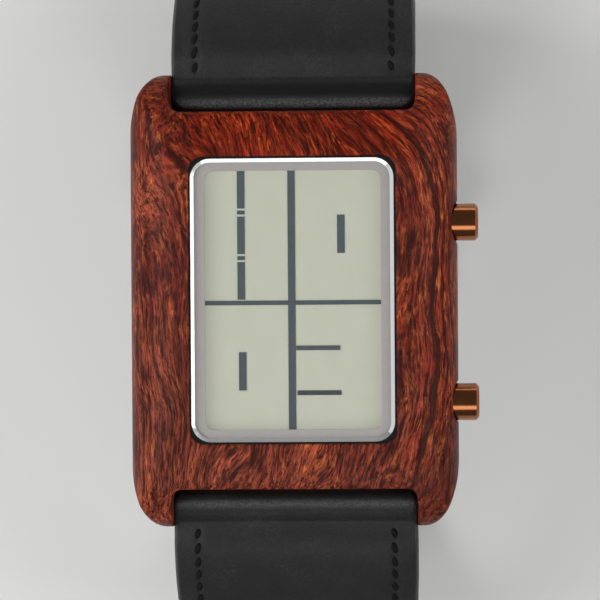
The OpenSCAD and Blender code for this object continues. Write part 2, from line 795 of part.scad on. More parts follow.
module upper_pusher_tube() { press_tube(upper_y); }
module upper_pusher() { pusher(upper_y); }
module upper_pusher_clip() { press_clip(upper_y); }
module upper_pusher_seal() { press_seal(upper_y); }
module upper_pusher_spring() { press_spring(upper_y); }
module lower_pusher_tube() { press_tube(-lower_y); }
module lower_pusher() { pusher(-lower_y); }
module lower_pusher_clip() { press_clip(-lower_y); }
module lower_pusher_seal() { press_seal(-lower_y); }
module lower_pusher_spring() { press_spring(-lower_y); }

// Spring bars
module bar_tube(half) {
    color("#a9a9a4") difference() {
        x_rod(bar_d, -half, half);
        x_rod(bar_bore, -half + lip, half - lip);
        x_rod(tip_d + 2 * bore_gap, -half - 1, half + 1);
    }
}

// One tip, with its collar behind the lip and its shank in the spring
module bar_tip(half, reach) {
    inner = half - lip - bore_gap;
    color("#c2c2bd") {
        x_rod(tip_d, inner - eps, reach);
        x_rod(bar_bore - 2 * bore_gap, inner - 0.6, inner);
        x_rod(0.6, inner - tip_shank, inner - 0.6);
    }
}

module bar_spring(half) {
    inner = half - lip - bore_gap - 0.6;
    color("#a9a9a4") coil(0.95, 0.2, -inner, inner, 18);
}

module at_lug(side) { translate([0, side * bar_y, lug_bar_z]) children(); }
module lug_tip(side, hand) {
    at_lug(side) mirror([hand < 0 ? 1 : 0, 0, 0]) bar_tip(bar_half, lug_gap / 2 + tip_reach);
}
module top_bar_tube() { at_lug(1) bar_tube(bar_half); }
module top_bar_tip_left() { lug_tip(1, -1); }
module top_bar_tip_right() { lug_tip(1, 1); }
module top_bar_spring() { at_lug(1) bar_spring(bar_half); }
module bottom_bar_tube() { at_lug(-1) bar_tube(bar_half); }
module bottom_bar_tip_left() { lug_tip(-1, -1); }
module bottom_bar_tip_right() { lug_tip(-1, 1); }
module bottom_bar_spring() { at_lug(-1) bar_spring(bar_half); }

// Places along the strap
module at_buckle() {
    place = on_back(buckle_at, 0);
    translate([0, place[0], place[1]]) rotate([180 + back_slope, 0, 0]) children();
}

// A place on the buckle side, at a distance before the buckle bar
module at_keeper(distance) {
    place = top_at(top_len - distance, 0);
    turn = max(0, distance - buckle_at) / bend_r * 180 / PI;
    translate([0, place[0], place[1]]) rotate([180 + back_slope + turn, 0, 0]) children();
}

// A place on the loose end, at a distance before the buckle bar
module at_tail(v) {
    u = v + buckle_at;
    place = tail_at(u, 0);
    turn = u < 0 ? tail_angle(u) : back_slope - atan(rise_slope(v));
    translate([0, place[0], place[1]]) rotate([180 + turn, 0, 0]) children();
}

// Tapered width of the strap, seen along the arm
module strap_width() {
    wide = strap_w / 2;
    slim = strap_w2 / 2;
    rotate([90, 0, 0]) linear_extrude(200, center = true) polygon([
        [-wide, 20], [-wide, 0], [-slim, -taper_depth], [-slim, -90],
        [slim, -90], [slim, -taper_depth], [wide, 0], [wide, 20]
    ]);
}

// Rounded ends of the fold, which clear the corners of the notch
module fold_corners() {
    r = notch_r + 0.6;
    for (x = [-1, 1]) translate([x * (strap_w / 2 - r), bar_y - fold_r + r, -5]) linear_extrude(20)
        difference() {
            translate([x * (r + 1) / 2, -(r + 1) / 2]) square(r + 1, center = true);
            circle(r, $fn = 48);
        }
}

module fold_cut(y, z) {
    translate([0, y, z]) x_rod(bar_d + 2 * bore_gap, -strap_w, strap_w);
}

// Straps
module top_strap_leather() {
    place = on_back(buckle_at, 0);
    color("#2b2b2b") difference() {
        intersection() {
            strap_width();
            union() {
                at_lug(1) x_rod(2 * fold_r, -strap_w / 2, strap_w / 2);
                along_x(strap_w) polygon(concat(
                    [top_at(0.6, -skin_t), top_at(pad_from, -skin_t)],
                    [for (s = top_steps) top_at(s, padding(s))],
                    [top_at(top_len - fold_r - 0.1, -skin_t), top_at(top_len - 0.6, -skin_t)],
                    [top_at(top_len - 0.6, skin_t)],
                    reversed([for (s = concat(fold_steps, top_steps)) top_at(s, padding(s) + skin_t)])
                ));
                at_buckle() x_rod(2 * fold_r, -strap_w / 2, strap_w / 2);
            }
        }
        fold_cut(bar_y, lug_bar_z);
        fold_cut(place[0], place[1]);
        fold_corners();
        at_buckle() translate([0, 0.5, 0]) cube([tongue_w + 0.8, 5, 8], center = true);
    }
}

module top_strap_lining() {
    color("#242424") difference() {
        intersection() {
            strap_width();
            along_x(strap_w) polygon(concat(
                [for (s = top_steps) top_at(s, 0)],
                reversed([for (s = top_steps) top_at(s, -skin_t)])
            ));
        }
        at_buckle() translate([0, 0.5, 0]) cube([tongue_w + 0.8, 5, 8], center = true);
    }
}

module top_strap_padding() {
    color("#5a5048") intersection() {
        strap_width();
        along_x(strap_w) polygon(concat(
            [for (s = pad_steps) top_at(s, 0)],
            reversed([for (s = pad_steps) if (padding(s) > 0) top_at(s, padding(s))])
        ));
    }
}

// Holes through the loose end, and its rounded tip
module tail_cuts() {
    slot_long = 1.4;
    slot_short = 0.9;
    for (i = [-3 : 2]) if (i != 0) at_tail(cross_v + i * hole_pitch)
        translate([0, 0, -3]) cylinder(d = hole_d, h = 6, $fn = 32);
    at_tail(cross_v) {
        for (y = [-slot_short, slot_long]) translate([0, -y, -3])
            cylinder(d = tongue_w + 0.6, h = 6, $fn = 32);
        translate([-tongue_w / 2 - 0.3, -slot_long, -3]) cube([tongue_w + 0.6, slot_long + slot_short, 6]);
    }
    tip_run = 9;
    at_tail(-buckle_at - tail_over) translate([0, 0, -3]) linear_extrude(9)
        for (x = [-1, 1]) polygon(concat(
            [[x * (strap_w2 / 2 + 1), -2], [0, -2], [0, 0]],
            [for (i = [1 : 8]) [x * strap_w2 / 2 * sin(90 * i / 8), tip_run * (1 - cos(90 * i / 8))]],
            [[x * (strap_w2 / 2 + 1), tip_run]]
        ));
}

module bottom_strap_leather() {
    color("#2b2b2b") difference() {
        intersection() {
            strap_width();
            union() {
                at_lug(-1) x_rod(2 * fold_r, -strap_w / 2, strap_w / 2);
                along_x(strap_w) polygon(concat(
                    [low_at(0.6, -skin_t), low_at(pad_from, -skin_t)],
                    [for (s = low_steps) low_at(s, padding(s))],
                    reversed([for (s = concat(fold_steps, low_steps)) low_at(s, padding(s) + skin_t)])
                ));
            }
        }
        fold_cut(-bar_y, lug_bar_z);
        mirror([0, 1, 0]) fold_corners();
        tail_cuts();
    }
}

module bottom_strap_lining() {
    color("#242424") difference() {
        intersection() {
            strap_width();
            along_x(strap_w) polygon(concat(
                [for (s = low_steps) low_at(s, 0)],
                reversed([for (s = low_steps) low_at(s, -skin_t)])
            ));
        }
        tail_cuts();
    }
}

module bottom_strap_padding() {
    color("#5a5048") intersection() {
        strap_width();
        along_x(strap_w) polygon(concat(
            [for (s = pad_steps) low_at(s, 0)],
            reversed([for (s = pad_steps) if (padding(s) > 0) low_at(s, padding(s))])
        ));
    }
}

// Keepers
module keeper_loop(inner_w, low, high) {
    rotate([90, 0, 0]) linear_extrude(keeper_w, center = true) translate([0, (low + high) / 2]) difference() {
        rounded(inner_w + 2 * keeper_t, high - low + 2 * keeper_t, keeper_t + 0.2);
        rounded(inner_w, high - low, 0.3);
    }
}

module fixed_keeper() {
    color("#262626") at_keeper(fixed_at) keeper_loop(strap_w2 + 0.5, stack_in + 0.2, stack_out);
}

module free_keeper() {
    color("#262626") at_keeper(free_at) keeper_loop(strap_w2 + 0.6, stack_in, stack_out);
}

// Buckle, in a local frame at its bar: Y runs to the bow and Z runs out of the strap
module buckle_frame() {
    outer_w = buckle_gap + 2 * arm_t;
    back_edge = -1.7;
    bow_end = bow_at + bow_w / 2;
    bow_z = skin_t + sway_gap;
    run = bow_at - bow_w / 2;
    color("#b4b4b0") at_buckle() difference() {
        intersection() {
            translate([0, 0, -10]) linear_extrude(20) difference() {
                translate([0, (bow_end + back_edge) / 2]) rounded(outer_w, bow_end - back_edge, 1.6);
                translate([0, (run + back_edge - 4) / 2]) rounded(buckle_gap, run - back_edge + 4, 1);
            }
            along_x(outer_w + 2) polygon([
                [back_edge, -1.2], [1.6, -1.2], [run * 0.55, bow_z - 1], [run, bow_z], [bow_end, bow_z],
                [bow_end, bow_z + bow_t], [run - 0.4, bow_z + bow_t], [run * 0.5, bow_z + bow_t - 0.9],
                [1.6, 1.2], [back_edge, 1.2]
            ]);
        }
        x_rod(tip_d + 2 * bore_gap, -buckle_gap / 2 - 1.1, buckle_gap / 2 + 1.1);
    }
}

module buckle_tongue() {
    half = tongue_t / 2;
    tip_v = bow_at + bow_w / 2 + 0.4;
    climb = (tongue_high - tongue_low) / tan(tongue_slope);
    up_v = cross_v - (rise(cross_v) + 0.2 - tongue_low) / tan(tongue_slope);
    high_v = up_v + climb;
    shift = half * tan(tongue_slope / 2);
    color("#b9b9b5") at_buckle() difference() {
        union() {
            x_rod(bar_d + 1.1, -tongue_w / 2, tongue_w / 2);
            along_x(tongue_w) polygon([
                [0, tongue_low - half], [up_v + shift, tongue_low - half], [high_v + shift, tongue_high - half],
                [tip_v, tongue_high - half], [tip_v, tongue_high + half * 0.4], [tip_v - 1, tongue_high + half],
                [high_v - shift, tongue_high + half], [up_v - shift, tongue_low + half], [0, tongue_low + half]
            ]);
        }
        x_rod(bar_d + 2 * bore_gap, -2, 2);
    }
}

module buckle_bar_tube() { at_buckle() bar_tube(buckle_half); }
module buckle_bar_tip_left() { at_buckle() mirror([1, 0, 0]) bar_tip(buckle_half, buckle_gap / 2 + 1); }
module buckle_bar_tip_right() { at_buckle() bar_tip(buckle_half, buckle_gap / 2 + 1); }
module buckle_bar_spring() { at_buckle() bar_spring(buckle_half); }

wood_case();
case_back();
case_back_screws();
case_back_gasket();
crystal();
crystal_gasket();
display_mask();
front_polarizer();
lcd_front_glass();
lcd_segments();
lcd_seal();
lcd_rear_glass();
rear_polarizer();
backlight_panel();
module_frame();
contact_strips();
circuit_board();
driver_chip();
timing_crystal();
board_components();
battery();
battery_clamp();
battery_spring();
module_screws();
switch_contacts();
upper_pusher_tube();
upper_pusher();
upper_pusher_clip();
upper_pusher_seal();
upper_pusher_spring();
lower_pusher_tube();
lower_pusher();
lower_pusher_clip();
lower_pusher_seal();
lower_pusher_spring();
top_bar_tube();
top_bar_tip_left();
top_bar_tip_right();
top_bar_spring();
bottom_bar_tube();
bottom_bar_tip_left();
bottom_bar_tip_right();
bottom_bar_spring();
top_strap_leather();
top_strap_lining();
top_strap_padding();
bottom_strap_leather();
bottom_strap_lining();
bottom_strap_padding();
fixed_keeper();
free_keeper();
buckle_frame();
buckle_tongue();
buckle_bar_tube();
buckle_bar_tip_left();
buckle_bar_tip_right();
buckle_bar_spring();
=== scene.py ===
"""LCD wristwatch with a rosewood case and a buckled leather strap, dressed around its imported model."""
import json
import math
import random
import bmesh
import bpy
from bpy.props import FloatProperty, FloatVectorProperty, PointerProperty
from mathutils import Matrix, Vector


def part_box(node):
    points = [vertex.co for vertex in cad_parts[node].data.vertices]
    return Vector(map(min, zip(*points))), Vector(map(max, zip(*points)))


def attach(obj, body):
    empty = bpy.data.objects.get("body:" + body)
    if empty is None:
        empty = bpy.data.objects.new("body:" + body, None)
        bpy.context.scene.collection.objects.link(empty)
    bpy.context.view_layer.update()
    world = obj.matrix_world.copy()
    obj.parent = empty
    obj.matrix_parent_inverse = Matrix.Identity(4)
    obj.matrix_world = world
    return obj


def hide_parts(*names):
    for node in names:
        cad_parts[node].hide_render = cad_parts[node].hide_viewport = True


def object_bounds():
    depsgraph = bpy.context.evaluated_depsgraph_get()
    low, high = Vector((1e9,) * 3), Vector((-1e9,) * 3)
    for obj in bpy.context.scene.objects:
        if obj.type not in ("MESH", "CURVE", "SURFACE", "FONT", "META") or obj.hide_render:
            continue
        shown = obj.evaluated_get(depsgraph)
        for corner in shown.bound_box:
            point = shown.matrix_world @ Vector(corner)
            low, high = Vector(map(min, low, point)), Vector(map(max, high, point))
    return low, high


bl_info = {
    "name": "LCD Watch",
    "version": (1, 0, 0),
    "blender": (4, 5, 0),
    "location": "3D View > Sidebar > LCD Watch",
    "description": "Wood case, leather strap, pushers and finishes of a rectangular LCD watch",
    "category": "Object",
}

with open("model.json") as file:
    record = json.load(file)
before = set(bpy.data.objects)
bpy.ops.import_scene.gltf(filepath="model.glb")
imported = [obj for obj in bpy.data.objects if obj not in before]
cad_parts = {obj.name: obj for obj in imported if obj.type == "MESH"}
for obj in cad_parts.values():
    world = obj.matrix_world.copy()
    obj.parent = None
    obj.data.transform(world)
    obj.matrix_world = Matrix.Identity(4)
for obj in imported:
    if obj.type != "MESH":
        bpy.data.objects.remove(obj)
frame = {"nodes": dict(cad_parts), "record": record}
CAD_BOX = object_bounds()
NODES = frame["nodes"]
MM = 0.001


# Sizes and colours that a user would change

class StrapSizes(bpy.types.PropertyGroup):
    """Sizes of the strap, the same as those of its solids."""
    width: FloatProperty(name="Width", description="Width at the lugs", default=0.026, unit="LENGTH")
    width_end: FloatProperty(name="End width", description="Width at the buckle", default=0.024, unit="LENGTH")
    taper_depth: FloatProperty(
        name="Taper depth", description="Depth over which it narrows", default=0.024, unit="LENGTH")
    skin: FloatProperty(name="Skin", description="Thickness of leather and of lining", default=0.0011, unit="LENGTH")
    pad: FloatProperty(name="Padding", description="Height of the padding", default=0.0018, unit="LENGTH")
    fold_radius: FloatProperty(name="Fold radius", description="Leather round a bar", default=0.0016, unit="LENGTH")
    bar_y: FloatProperty(name="Bar distance", description="Lug bar from the middle", default=0.02205, unit="LENGTH")
    bar_z: FloatProperty(name="Bar height", description="Lug bar above the back", default=0.0034, unit="LENGTH")
    lead: FloatProperty(name="Lead", description="Straight stretch at a lug", default=0.005, unit="LENGTH")
    drop: FloatProperty(
        name="Drop", description="Downward slope at the lugs", default=math.radians(24), subtype="ANGLE")
    bend: FloatProperty(name="Bend", description="Radius of the buckle side bend", default=0.020, unit="LENGTH")
    back_slope: FloatProperty(
        name="Back slope", description="Slope of the back stretch", default=math.radians(10), subtype="ANGLE")
    buckle_at: FloatProperty(name="Buckle place", description="Bend to buckle bar", default=0.006, unit="LENGTH")
    tail_over: FloatProperty(
        name="Tail overlap", description="Loose end past the bend", default=0.0175, unit="LENGTH")
    hole_pitch: FloatProperty(name="Hole pitch", description="Distance between holes", default=0.0065, unit="LENGTH")
    hole: FloatProperty(name="Hole", description="Diameter of a hole", default=0.0018, unit="LENGTH")
    stitch_inset: FloatProperty(
        name="Stitch inset", description="Stitch row from the edge", default=0.0026, unit="LENGTH")
    stitch_pitch: FloatProperty(
        name="Stitch pitch", description="Distance between stitches", default=0.00162, unit="LENGTH")
    thread: FloatProperty(name="Thread", description="Thread diameter", default=0.00056, unit="LENGTH")


class CaseLooks(bpy.types.PropertyGroup):
    """Colours of the case and the display."""
    wood_dark: FloatVectorProperty(
        name="Dark wood", description="Dark grain", default=(0.0326, 0.0059, 0.0044), subtype="COLOR", size=3)
    wood_shadow: FloatVectorProperty(
        name="Wood shadow", description="Dark stripes and clouds", default=(0.0400, 0.0085, 0.0080),
        subtype="COLOR", size=3)
    wood_mid: FloatVectorProperty(
        name="Wood", description="Ground of the wood", default=(0.3600, 0.0460, 0.0210), subtype="COLOR", size=3)
    # Paler patches of the wood, and also the colour of the painted sheen on the bottom bar and low on the left side
    wood_pale_and_sheen: FloatVectorProperty(
        name="Pale wood", description="Paler patches", default=(0.460, 0.1000, 0.0560), subtype="COLOR", size=3)
    wood_light: FloatVectorProperty(
        name="Light wood", description="Orange flecks", default=(0.6600, 0.1600, 0.0480), subtype="COLOR", size=3)
    copper: FloatVectorProperty(
        name="Pushers", description="Copper-toned plating", default=(0.3400, 0.1260, 0.0500), subtype="COLOR", size=3)
    display: FloatVectorProperty(
        name="Display", description="Ground of the display", default=(0.545, 0.557, 0.457), subtype="COLOR", size=3)
    segments: FloatVectorProperty(
        name="Segments", description="Dark bars", default=(0.0444, 0.0651, 0.0799), subtype="COLOR", size=3)
    mask: FloatVectorProperty(
        name="Mask", description="Grey border", default=(0.3626, 0.3434, 0.3315), subtype="COLOR", size=3)
    leather: FloatVectorProperty(
        name="Leather", description="Strap leather", default=(0.0140, 0.0140, 0.0143), subtype="COLOR", size=3)


class StageLooks(bpy.types.PropertyGroup):
    """Floor, camera and lamps."""
    floor: FloatVectorProperty(
        name="Floor", description="Pale floor", default=(0.80, 0.80, 0.79), subtype="COLOR", size=3)
    distance: FloatProperty(name="Distance", description="Camera to the display", default=0.30, unit="LENGTH")
    lean: FloatProperty(
        name="Lean", description="Camera's lean to the pusher side", default=math.radians(2.3), subtype="ANGLE")
    roll: FloatProperty(name="Roll", description="Camera roll", default=math.radians(0.4), subtype="ANGLE")
    view_width: FloatProperty(
        name="View width", description="Width seen at the display", default=0.0637, unit="LENGTH")


# Material building

COLOR = "NodeSocketColor"
FLOAT = "NodeSocketFloat"
MIX_FACTOR, MIX_FIRST, MIX_SECOND, MIX_RESULT = 0, 6, 7, 2


def add(tree, kind, inputs=None, **settings):
    """Adds a node with its settings, then its input values by socket."""
    node = tree.nodes.new(kind)
    for key, value in settings.items():
        setattr(node, key, value)
    for socket, value in (inputs or {}).items():
        node.inputs[socket].default_value = value
    return node


class Signal:
    """An output in a node tree. Arithmetic on it adds the nodes that work it out."""

    def __init__(self, tree, socket):
        self.tree = tree
        self.socket = socket

    def feed(self, socket):
        self.tree.links.new(self.socket, socket)

    def math(self, operation, other=0.0, clamp=False):
        return calculate(self.tree, operation, self, other, clamp)

    def __add__(self, other):
        return self.math("ADD", other)

    def __sub__(self, other):
        return self.math("SUBTRACT", other)

    def __rsub__(self, other):
        return calculate(self.tree, "SUBTRACT", other, self)

    def __mul__(self, other):
        return self.math("MULTIPLY", other)

    def __truediv__(self, other):
        return self.math("DIVIDE", other)

    def __pow__(self, other):
        return self.math("POWER", other)

    def __abs__(self):
        return self.math("ABSOLUTE")

    def least(self, other):
        return self.math("MINIMUM", other)

    def most(self, other):
        return self.math("MAXIMUM", other)

    def span(self, low, high, to_low=0.0, to_high=1.0):
        """Maps low to high onto to_low to to_high, and holds at both ends."""
        node = add(self.tree, "ShaderNodeMapRange", clamp=True,
                   inputs={"From Min": low, "From Max": high, "To Min": to_low, "To Max": to_high})
        self.feed(node.inputs["Value"])
        return Signal(self.tree, node.outputs["Result"])

    def scaled(self, scale):
        node = add(self.tree, "ShaderNodeVectorMath", operation="SCALE")
        self.feed(node.inputs[0])
        give(scale, node.inputs["Scale"])
        return Signal(self.tree, node.outputs[0])

    def parts(self):
        """The X, Y and Z of a place or a direction."""
        node = self.tree.nodes.new("ShaderNodeSeparateXYZ")
        self.feed(node.inputs[0])
        return [Signal(self.tree, socket) for socket in node.outputs]

    def noise(self, scale, detail, rough, distortion=0.0):
        """Noise at a place; one scale per axis stretches it."""
        place = self
        if isinstance(scale, tuple):
            stretch = add(self.tree, "ShaderNodeMapping", vector_type="POINT", inputs={"Scale": scale})
            self.feed(stretch.inputs["Vector"])
            place, scale = Signal(self.tree, stretch.outputs["Vector"]), 1.0
        node = add(self.tree, "ShaderNodeTexNoise",
                   inputs={"Scale": scale, "Detail": detail, "Roughness": rough, "Distortion": distortion})
        place.feed(node.inputs["Vector"])
        return Signal(self.tree, node.outputs["Fac"])

    def mix(self, first, second, blend="MIX"):
        """The first colour where this is 0, the second where it is 1."""
        node = add(self.tree, "ShaderNodeMix", data_type="RGBA", blend_type=blend)
        for index, signal in ((MIX_FACTOR, self), (MIX_FIRST, first), (MIX_SECOND, second)):
            signal.feed(node.inputs[index])
        return Signal(self.tree, node.outputs[MIX_RESULT])


def give(value, socket):
    """Links a signal to an input, or sets the input to a number."""
    if isinstance(value, Signal):
        value.feed(socket)
    else:
        socket.default_value = value


def calculate(tree, operation, first, second=0.0, clamp=False):
    node = add(tree, "ShaderNodeMath", operation=operation, use_clamp=clamp)
    give(first, node.inputs[0])
    give(second, node.inputs[1])
    return Signal(tree, node.outputs[0])


def object_mm(tree):
    """The object's own coordinates, in millimetres."""
    coordinates = tree.nodes.new("ShaderNodeTexCoord")
    return Signal(tree, coordinates.outputs["Object"]).scaled(1 / MM)


def new_group(name, **inputs):
    """A shader node group with these inputs, as colours where the value is None and numbers elsewhere.

    Gives the group's tree, its inputs as signals by label, and a function that takes the three results.
    """
    tree = bpy.data.node_groups.new(name, "ShaderNodeTree")
    for label, value in inputs.items():
        kind = COLOR if value is None else FLOAT
        socket = tree.interface.new_socket(label.replace("_", " "), in_out="INPUT", socket_type=kind)
        if value is not None:
            socket.default_value = value
    for label, kind in (("Color", COLOR), ("Roughness", FLOAT), ("Height", FLOAT)):
        tree.interface.new_socket(label, in_out="OUTPUT", socket_type=kind)
    source = tree.nodes.new("NodeGroupInput")
    sink = tree.nodes.new("NodeGroupOutput")

    def finish(color, roughness, height):
        for label, signal in (("Color", color), ("Roughness", roughness), ("Height", height)):
            signal.feed(sink.inputs[label])

    return tree, {label: Signal(tree, source.outputs[label.replace("_", " ")]) for label in inputs}, finish


def place_group(tree, name, **inputs):
    node = add(tree, "ShaderNodeGroup", node_tree=bpy.data.node_groups[name])
    for label, value in inputs.items():
        is_color = hasattr(value, "__len__")
        node.inputs[label.replace("_", " ")].default_value = (*value[:3], 1.0) if is_color else value
    return node


# Course of the grain, in millimetres from the middle of the case: it sways, bows over from a height on, and slants
# below a height and on the left side. The wide dark stripe has its place across the grain, and its fine lines come
# in radians per millimetre.
SWAY = 7.0
BOW_FROM, BOW_RUN, BOW_POWER = 7.0, 13.0, 2.2
FOOT_TOP, FOOT_SLANT = -12.0, -0.24
SIDE_TOP = 12.0
STRIPE_AT, STRIPE_LINES = 15.3, 5.2
LOW_BAR_AT = -17.2
# Noises of the wood: scale per millimetre along X, Y and Z, detail, roughness and distortion
WOOD_NOISES = (
    ((0.55, 0.035, 0.40), 4.0, 0.55),       # bands
    ((2.7, 0.27, 2.7), 5.0, 0.68),          # fibres
    ((8.0, 0.85, 8.0), 3.0, 0.6),           # hair
    ((1.1, 0.50, 1.1), 4.0, 0.6, 0.8),      # curl
    ((5.6, 0.95, 5.6), 1.0, 0.4),           # pores
    ((2.1, 0.42, 2.1), 3.0, 0.7, 0.4),      # flecks
    ((0.34, 0.125, 0.34), 4.0, 0.62, 0.6),  # clouds
    ((0.16, 0.07, 0.16), 3.0, 0.6, 0.4),    # drift
)


def rosewood_group():
    """Grain along Y that leans over one corner: slow figure, fine fibres, dark pores and orange flecks.

    Places are in millimetres from the middle of the case, and weights run from 0 to 1.
    """
    tree, given, finish = new_group(
        "Rosewood Grain", Dark=None, Shadow=None, Mid=None, Blush=None, Light=None, Deep=None,
        Figure=1.0, Pores=1.0, Lean=1.0)
    place = object_mm(tree)
    x, y, z = place.parts()

    sway = (place.noise((0.10, 0.045, 0.10), 2.0, 0.5) - 0.5) * SWAY
    bow = ((y - BOW_FROM) / BOW_RUN).most(0.0) ** BOW_POWER * x.span(-14.0, 10.0, 0.6, 6.0)
    foot = (y - FOOT_TOP).least(0.0) * FOOT_SLANT
    side = y.least(SIDE_TOP) * x.span(-16.0, -9.0, 0.28, 0.0)
    across = (x + sway) + (bow * given["Lean"] + (foot + side) * given["Lean"])
    warped = tree.nodes.new("ShaderNodeCombineXYZ")
    for signal, socket in zip((across, y, z), warped.inputs):
        signal.feed(socket)
    grain = Signal(tree, warped.outputs[0])
    bands, fibres, hair, curl, pores, flecks, clouds, drift = [grain.noise(*values) for values in WOOD_NOISES]

    # Paler ground: in drifts below the top bar, and painted sheen along the bottom bar, strongest at the left, and
    # low on the left side
    drifts = drift.span(0.44, 0.62, 0.0, 0.85) * y.span(12.0, 18.0, 1.0, 0.15)
    low_bar_sheen = abs(y - LOW_BAR_AT).span(1.8, 3.0, 0.9, 0.0) * x.span(-10.0, 12.0, 1.0, 0.3)
    left_rail_sheen = x.span(-13.0, -9.0, 0.8, 0.0) * y.span(-8.0, 4.0, 1.0, 0.0)
    tone_and_sheen = drifts.most(low_bar_sheen.most(left_rail_sheen)).mix(given["Mid"], given["Blush"])
    ground = fibres.span(0.41, 0.58, 0.05, 1.0).mix(given["Dark"], tone_and_sheen)
    warm = (flecks.span(0.50, 0.61) * curl.span(0.38, 0.62, 0.1, 1.0)).mix(ground, given["Light"])

    # Dark figure: clouds and streaks, and one wide stripe with fine lines that follows the bowed grain
    cloud = clouds.span(0.47, 0.58) * fibres.span(0.34, 0.66, 1.0, 0.45)
    streak = bands.span(0.48, 0.60, 0.0, 0.75) * fibres.span(0.34, 0.66, 1.0, 0.6)
    figure = cloud.most(streak).math("MULTIPLY", given["Figure"], clamp=True)
    edge = (across + curl) - STRIPE_AT
    stripe = abs(edge).span(0.25, 0.7, 1.0, 0.0) * fibres.span(0.30, 0.66, 1.0, 0.7)
    ripple = (edge * STRIPE_LINES).math("SINE").span(0.35, 0.95, 0.0, 0.8)
    lines = ripple * (edge.span(0.5, 0.9) * edge.span(3.6, 4.4, 1.0, 0.0))
    beside = abs(edge - 0.4).span(1.2, 3.4, 0.25, 1.0)

    # Darker corners: the upper left, and painted shade at the lower right, where the light falls off
    upper_left = (y - x * 0.6).span(21.5, 26.0, 0.0, 0.38)
    shade_lower_right = (x - y).span(27.0, 34.0, 0.0, 0.65)
    figure_and_shade = (figure * beside).most(stripe.most(lines).most(upper_left.most(shade_lower_right)))
    dark = (stripe * 0.6).mix(figure_and_shade.mix(warm, given["Shadow"]), given["Dark"])

    # Fine dark lines and pores over all, and a deeper red on the top bar as painted shade, where less light and sheen
    # reach it
    fine = hair.span(0.46, 0.64, 0.0, 0.6).mix(dark, given["Dark"])
    pore = pores.span(0.60, 0.69).math("MULTIPLY", given["Pores"], clamp=True)
    pored = (pore * 0.85).mix(fine, given["Dark"])
    painted_top_bar_shade = y.span(12.5, 15.5) * abs(x).span(10.0, 14.0, 1.0, 0.0)
    finish(painted_top_bar_shade.mix(pored, given["Deep"], "MULTIPLY"), fibres.span(0.3, 0.7, 0.34, 0.46), hair * 0.35 - pore)


# Painted light on the leather, in millimetres: the painted highlights on the folds over the lug bars, the painted
# shade behind the upper one, and the heights over which this painted light comes in
UPPER_HIGHLIGHT_AT, LOWER_HIGHLIGHT_AT, SHADE_BAND_AT = 21.05, -21.95, 22.7
PAINTED_LIGHT_ABOVE = (-6.0, -3.0)


def leather_group():
    """Fine pebbled grain, with painted highlights on the folds at the lugs and painted shade behind the upper one."""
    tree, given, finish = new_group(
        "Leather Grain", Base=None, Worn=None, Grain=1.0, Gloss=0.5, Fold=None, Crease=None, Fold_Wear=0.0)
    place = object_mm(tree)
    _, y, z = place.parts()

    on_top = z.span(*PAINTED_LIGHT_ABOVE)
    # Painted highlight: a pale speckled band on each fold, stronger on the upper one, on the strap's top only
    upper_highlight = abs(y - UPPER_HIGHLIGHT_AT).span(0.15, 0.75, 1.0, 0.0)
    lower_highlight = abs(y - LOWER_HIGHLIGHT_AT).span(0.10, 0.60, 0.36, 0.0)
    fold = upper_highlight.most(lower_highlight) * on_top
    # Painted shade: a dark band in the dip behind the upper fold, on the strap's top only
    behind = abs(y - SHADE_BAND_AT).span(0.5, 1.0, 1.0, 0.0) * on_top
    painted_shade = behind.math("MULTIPLY", given["Fold_Wear"], clamp=True)
    speckle = place.noise((4.6, 7.5, 4.6), 4.0, 0.75).span(0.40, 0.62, 0.10, 1.0)
    painted_highlight = (fold * speckle).math("MULTIPLY", given["Fold_Wear"], clamp=True)

    pebble = add(tree, "ShaderNodeTexVoronoi", feature="SMOOTH_F1",
                 inputs={"Scale": 3.6, "Smoothness": 0.7, "Randomness": 1.0})
    place.feed(pebble.inputs["Vector"])
    fine = place.noise(7.5, 4.0, 0.6)
    worn = place.noise(0.35, 3.0, 0.5).span(0.35, 0.75) * place.noise(2.4, 2.0, 0.5).span(0.35, 0.7)
    plain = worn.mix(given["Base"], given["Worn"])
    lump = Signal(tree, pebble.outputs["Distance"]) * 0.5 + fine * 0.55
    finish(painted_highlight.mix(painted_shade.mix(plain, given["Crease"]), given["Fold"]),
           given["Gloss"] + fine.span(0.3, 0.7, -0.07, 0.08), lump * given["Grain"])


def brushed_group():
    """Fine lines along one direction, with faint smudges."""
    tree, given, finish = new_group("Brushed Lines", Base=None, Shade=None, Roughness=0.3, Lines=1.0)
    place = object_mm(tree)
    lines = place.noise((13.0, 0.16, 13.0), 3.0, 0.6)
    smudge = place.noise(0.16, 2.0, 0.5).span(0.3, 0.7, -0.03, 0.04)
    finish(lines.span(0.35, 0.7, 0.0, 0.6).mix(given["Base"], given["Shade"]),
           given["Roughness"] + smudge, lines * given["Lines"])


def mottle_group():
    """Slight mottling for moulded, printed and painted pieces."""
    tree, given, finish = new_group("Fine Mottle", Base=None, Shade=None, Size=4.0, Roughness=0.5, Amount=0.5)
    grains = object_mm(tree).scaled(given["Size"]).noise(1.0, 4.0, 0.6)
    factor = grains.span(0.3, 0.7) * given["Amount"]
    finish(factor.mix(given["Base"], given["Shade"]),
           given["Roughness"] + grains.span(0.3, 0.7, -0.05, 0.05), grains)


def shaded(name, group, **inputs):
    """A material whose colour and roughness come from a group."""
    material = bpy.data.materials.new("finish_" + name)
    material.use_nodes = True
    tree = material.node_tree
    shader = tree.nodes["Principled BSDF"]
    node = place_group(tree, group, **inputs)
    tree.links.new(node.outputs["Color"], shader.inputs["Base Color"])
    tree.links.new(node.outputs["Roughness"], shader.inputs["Roughness"])
    return material, tree, shader, node


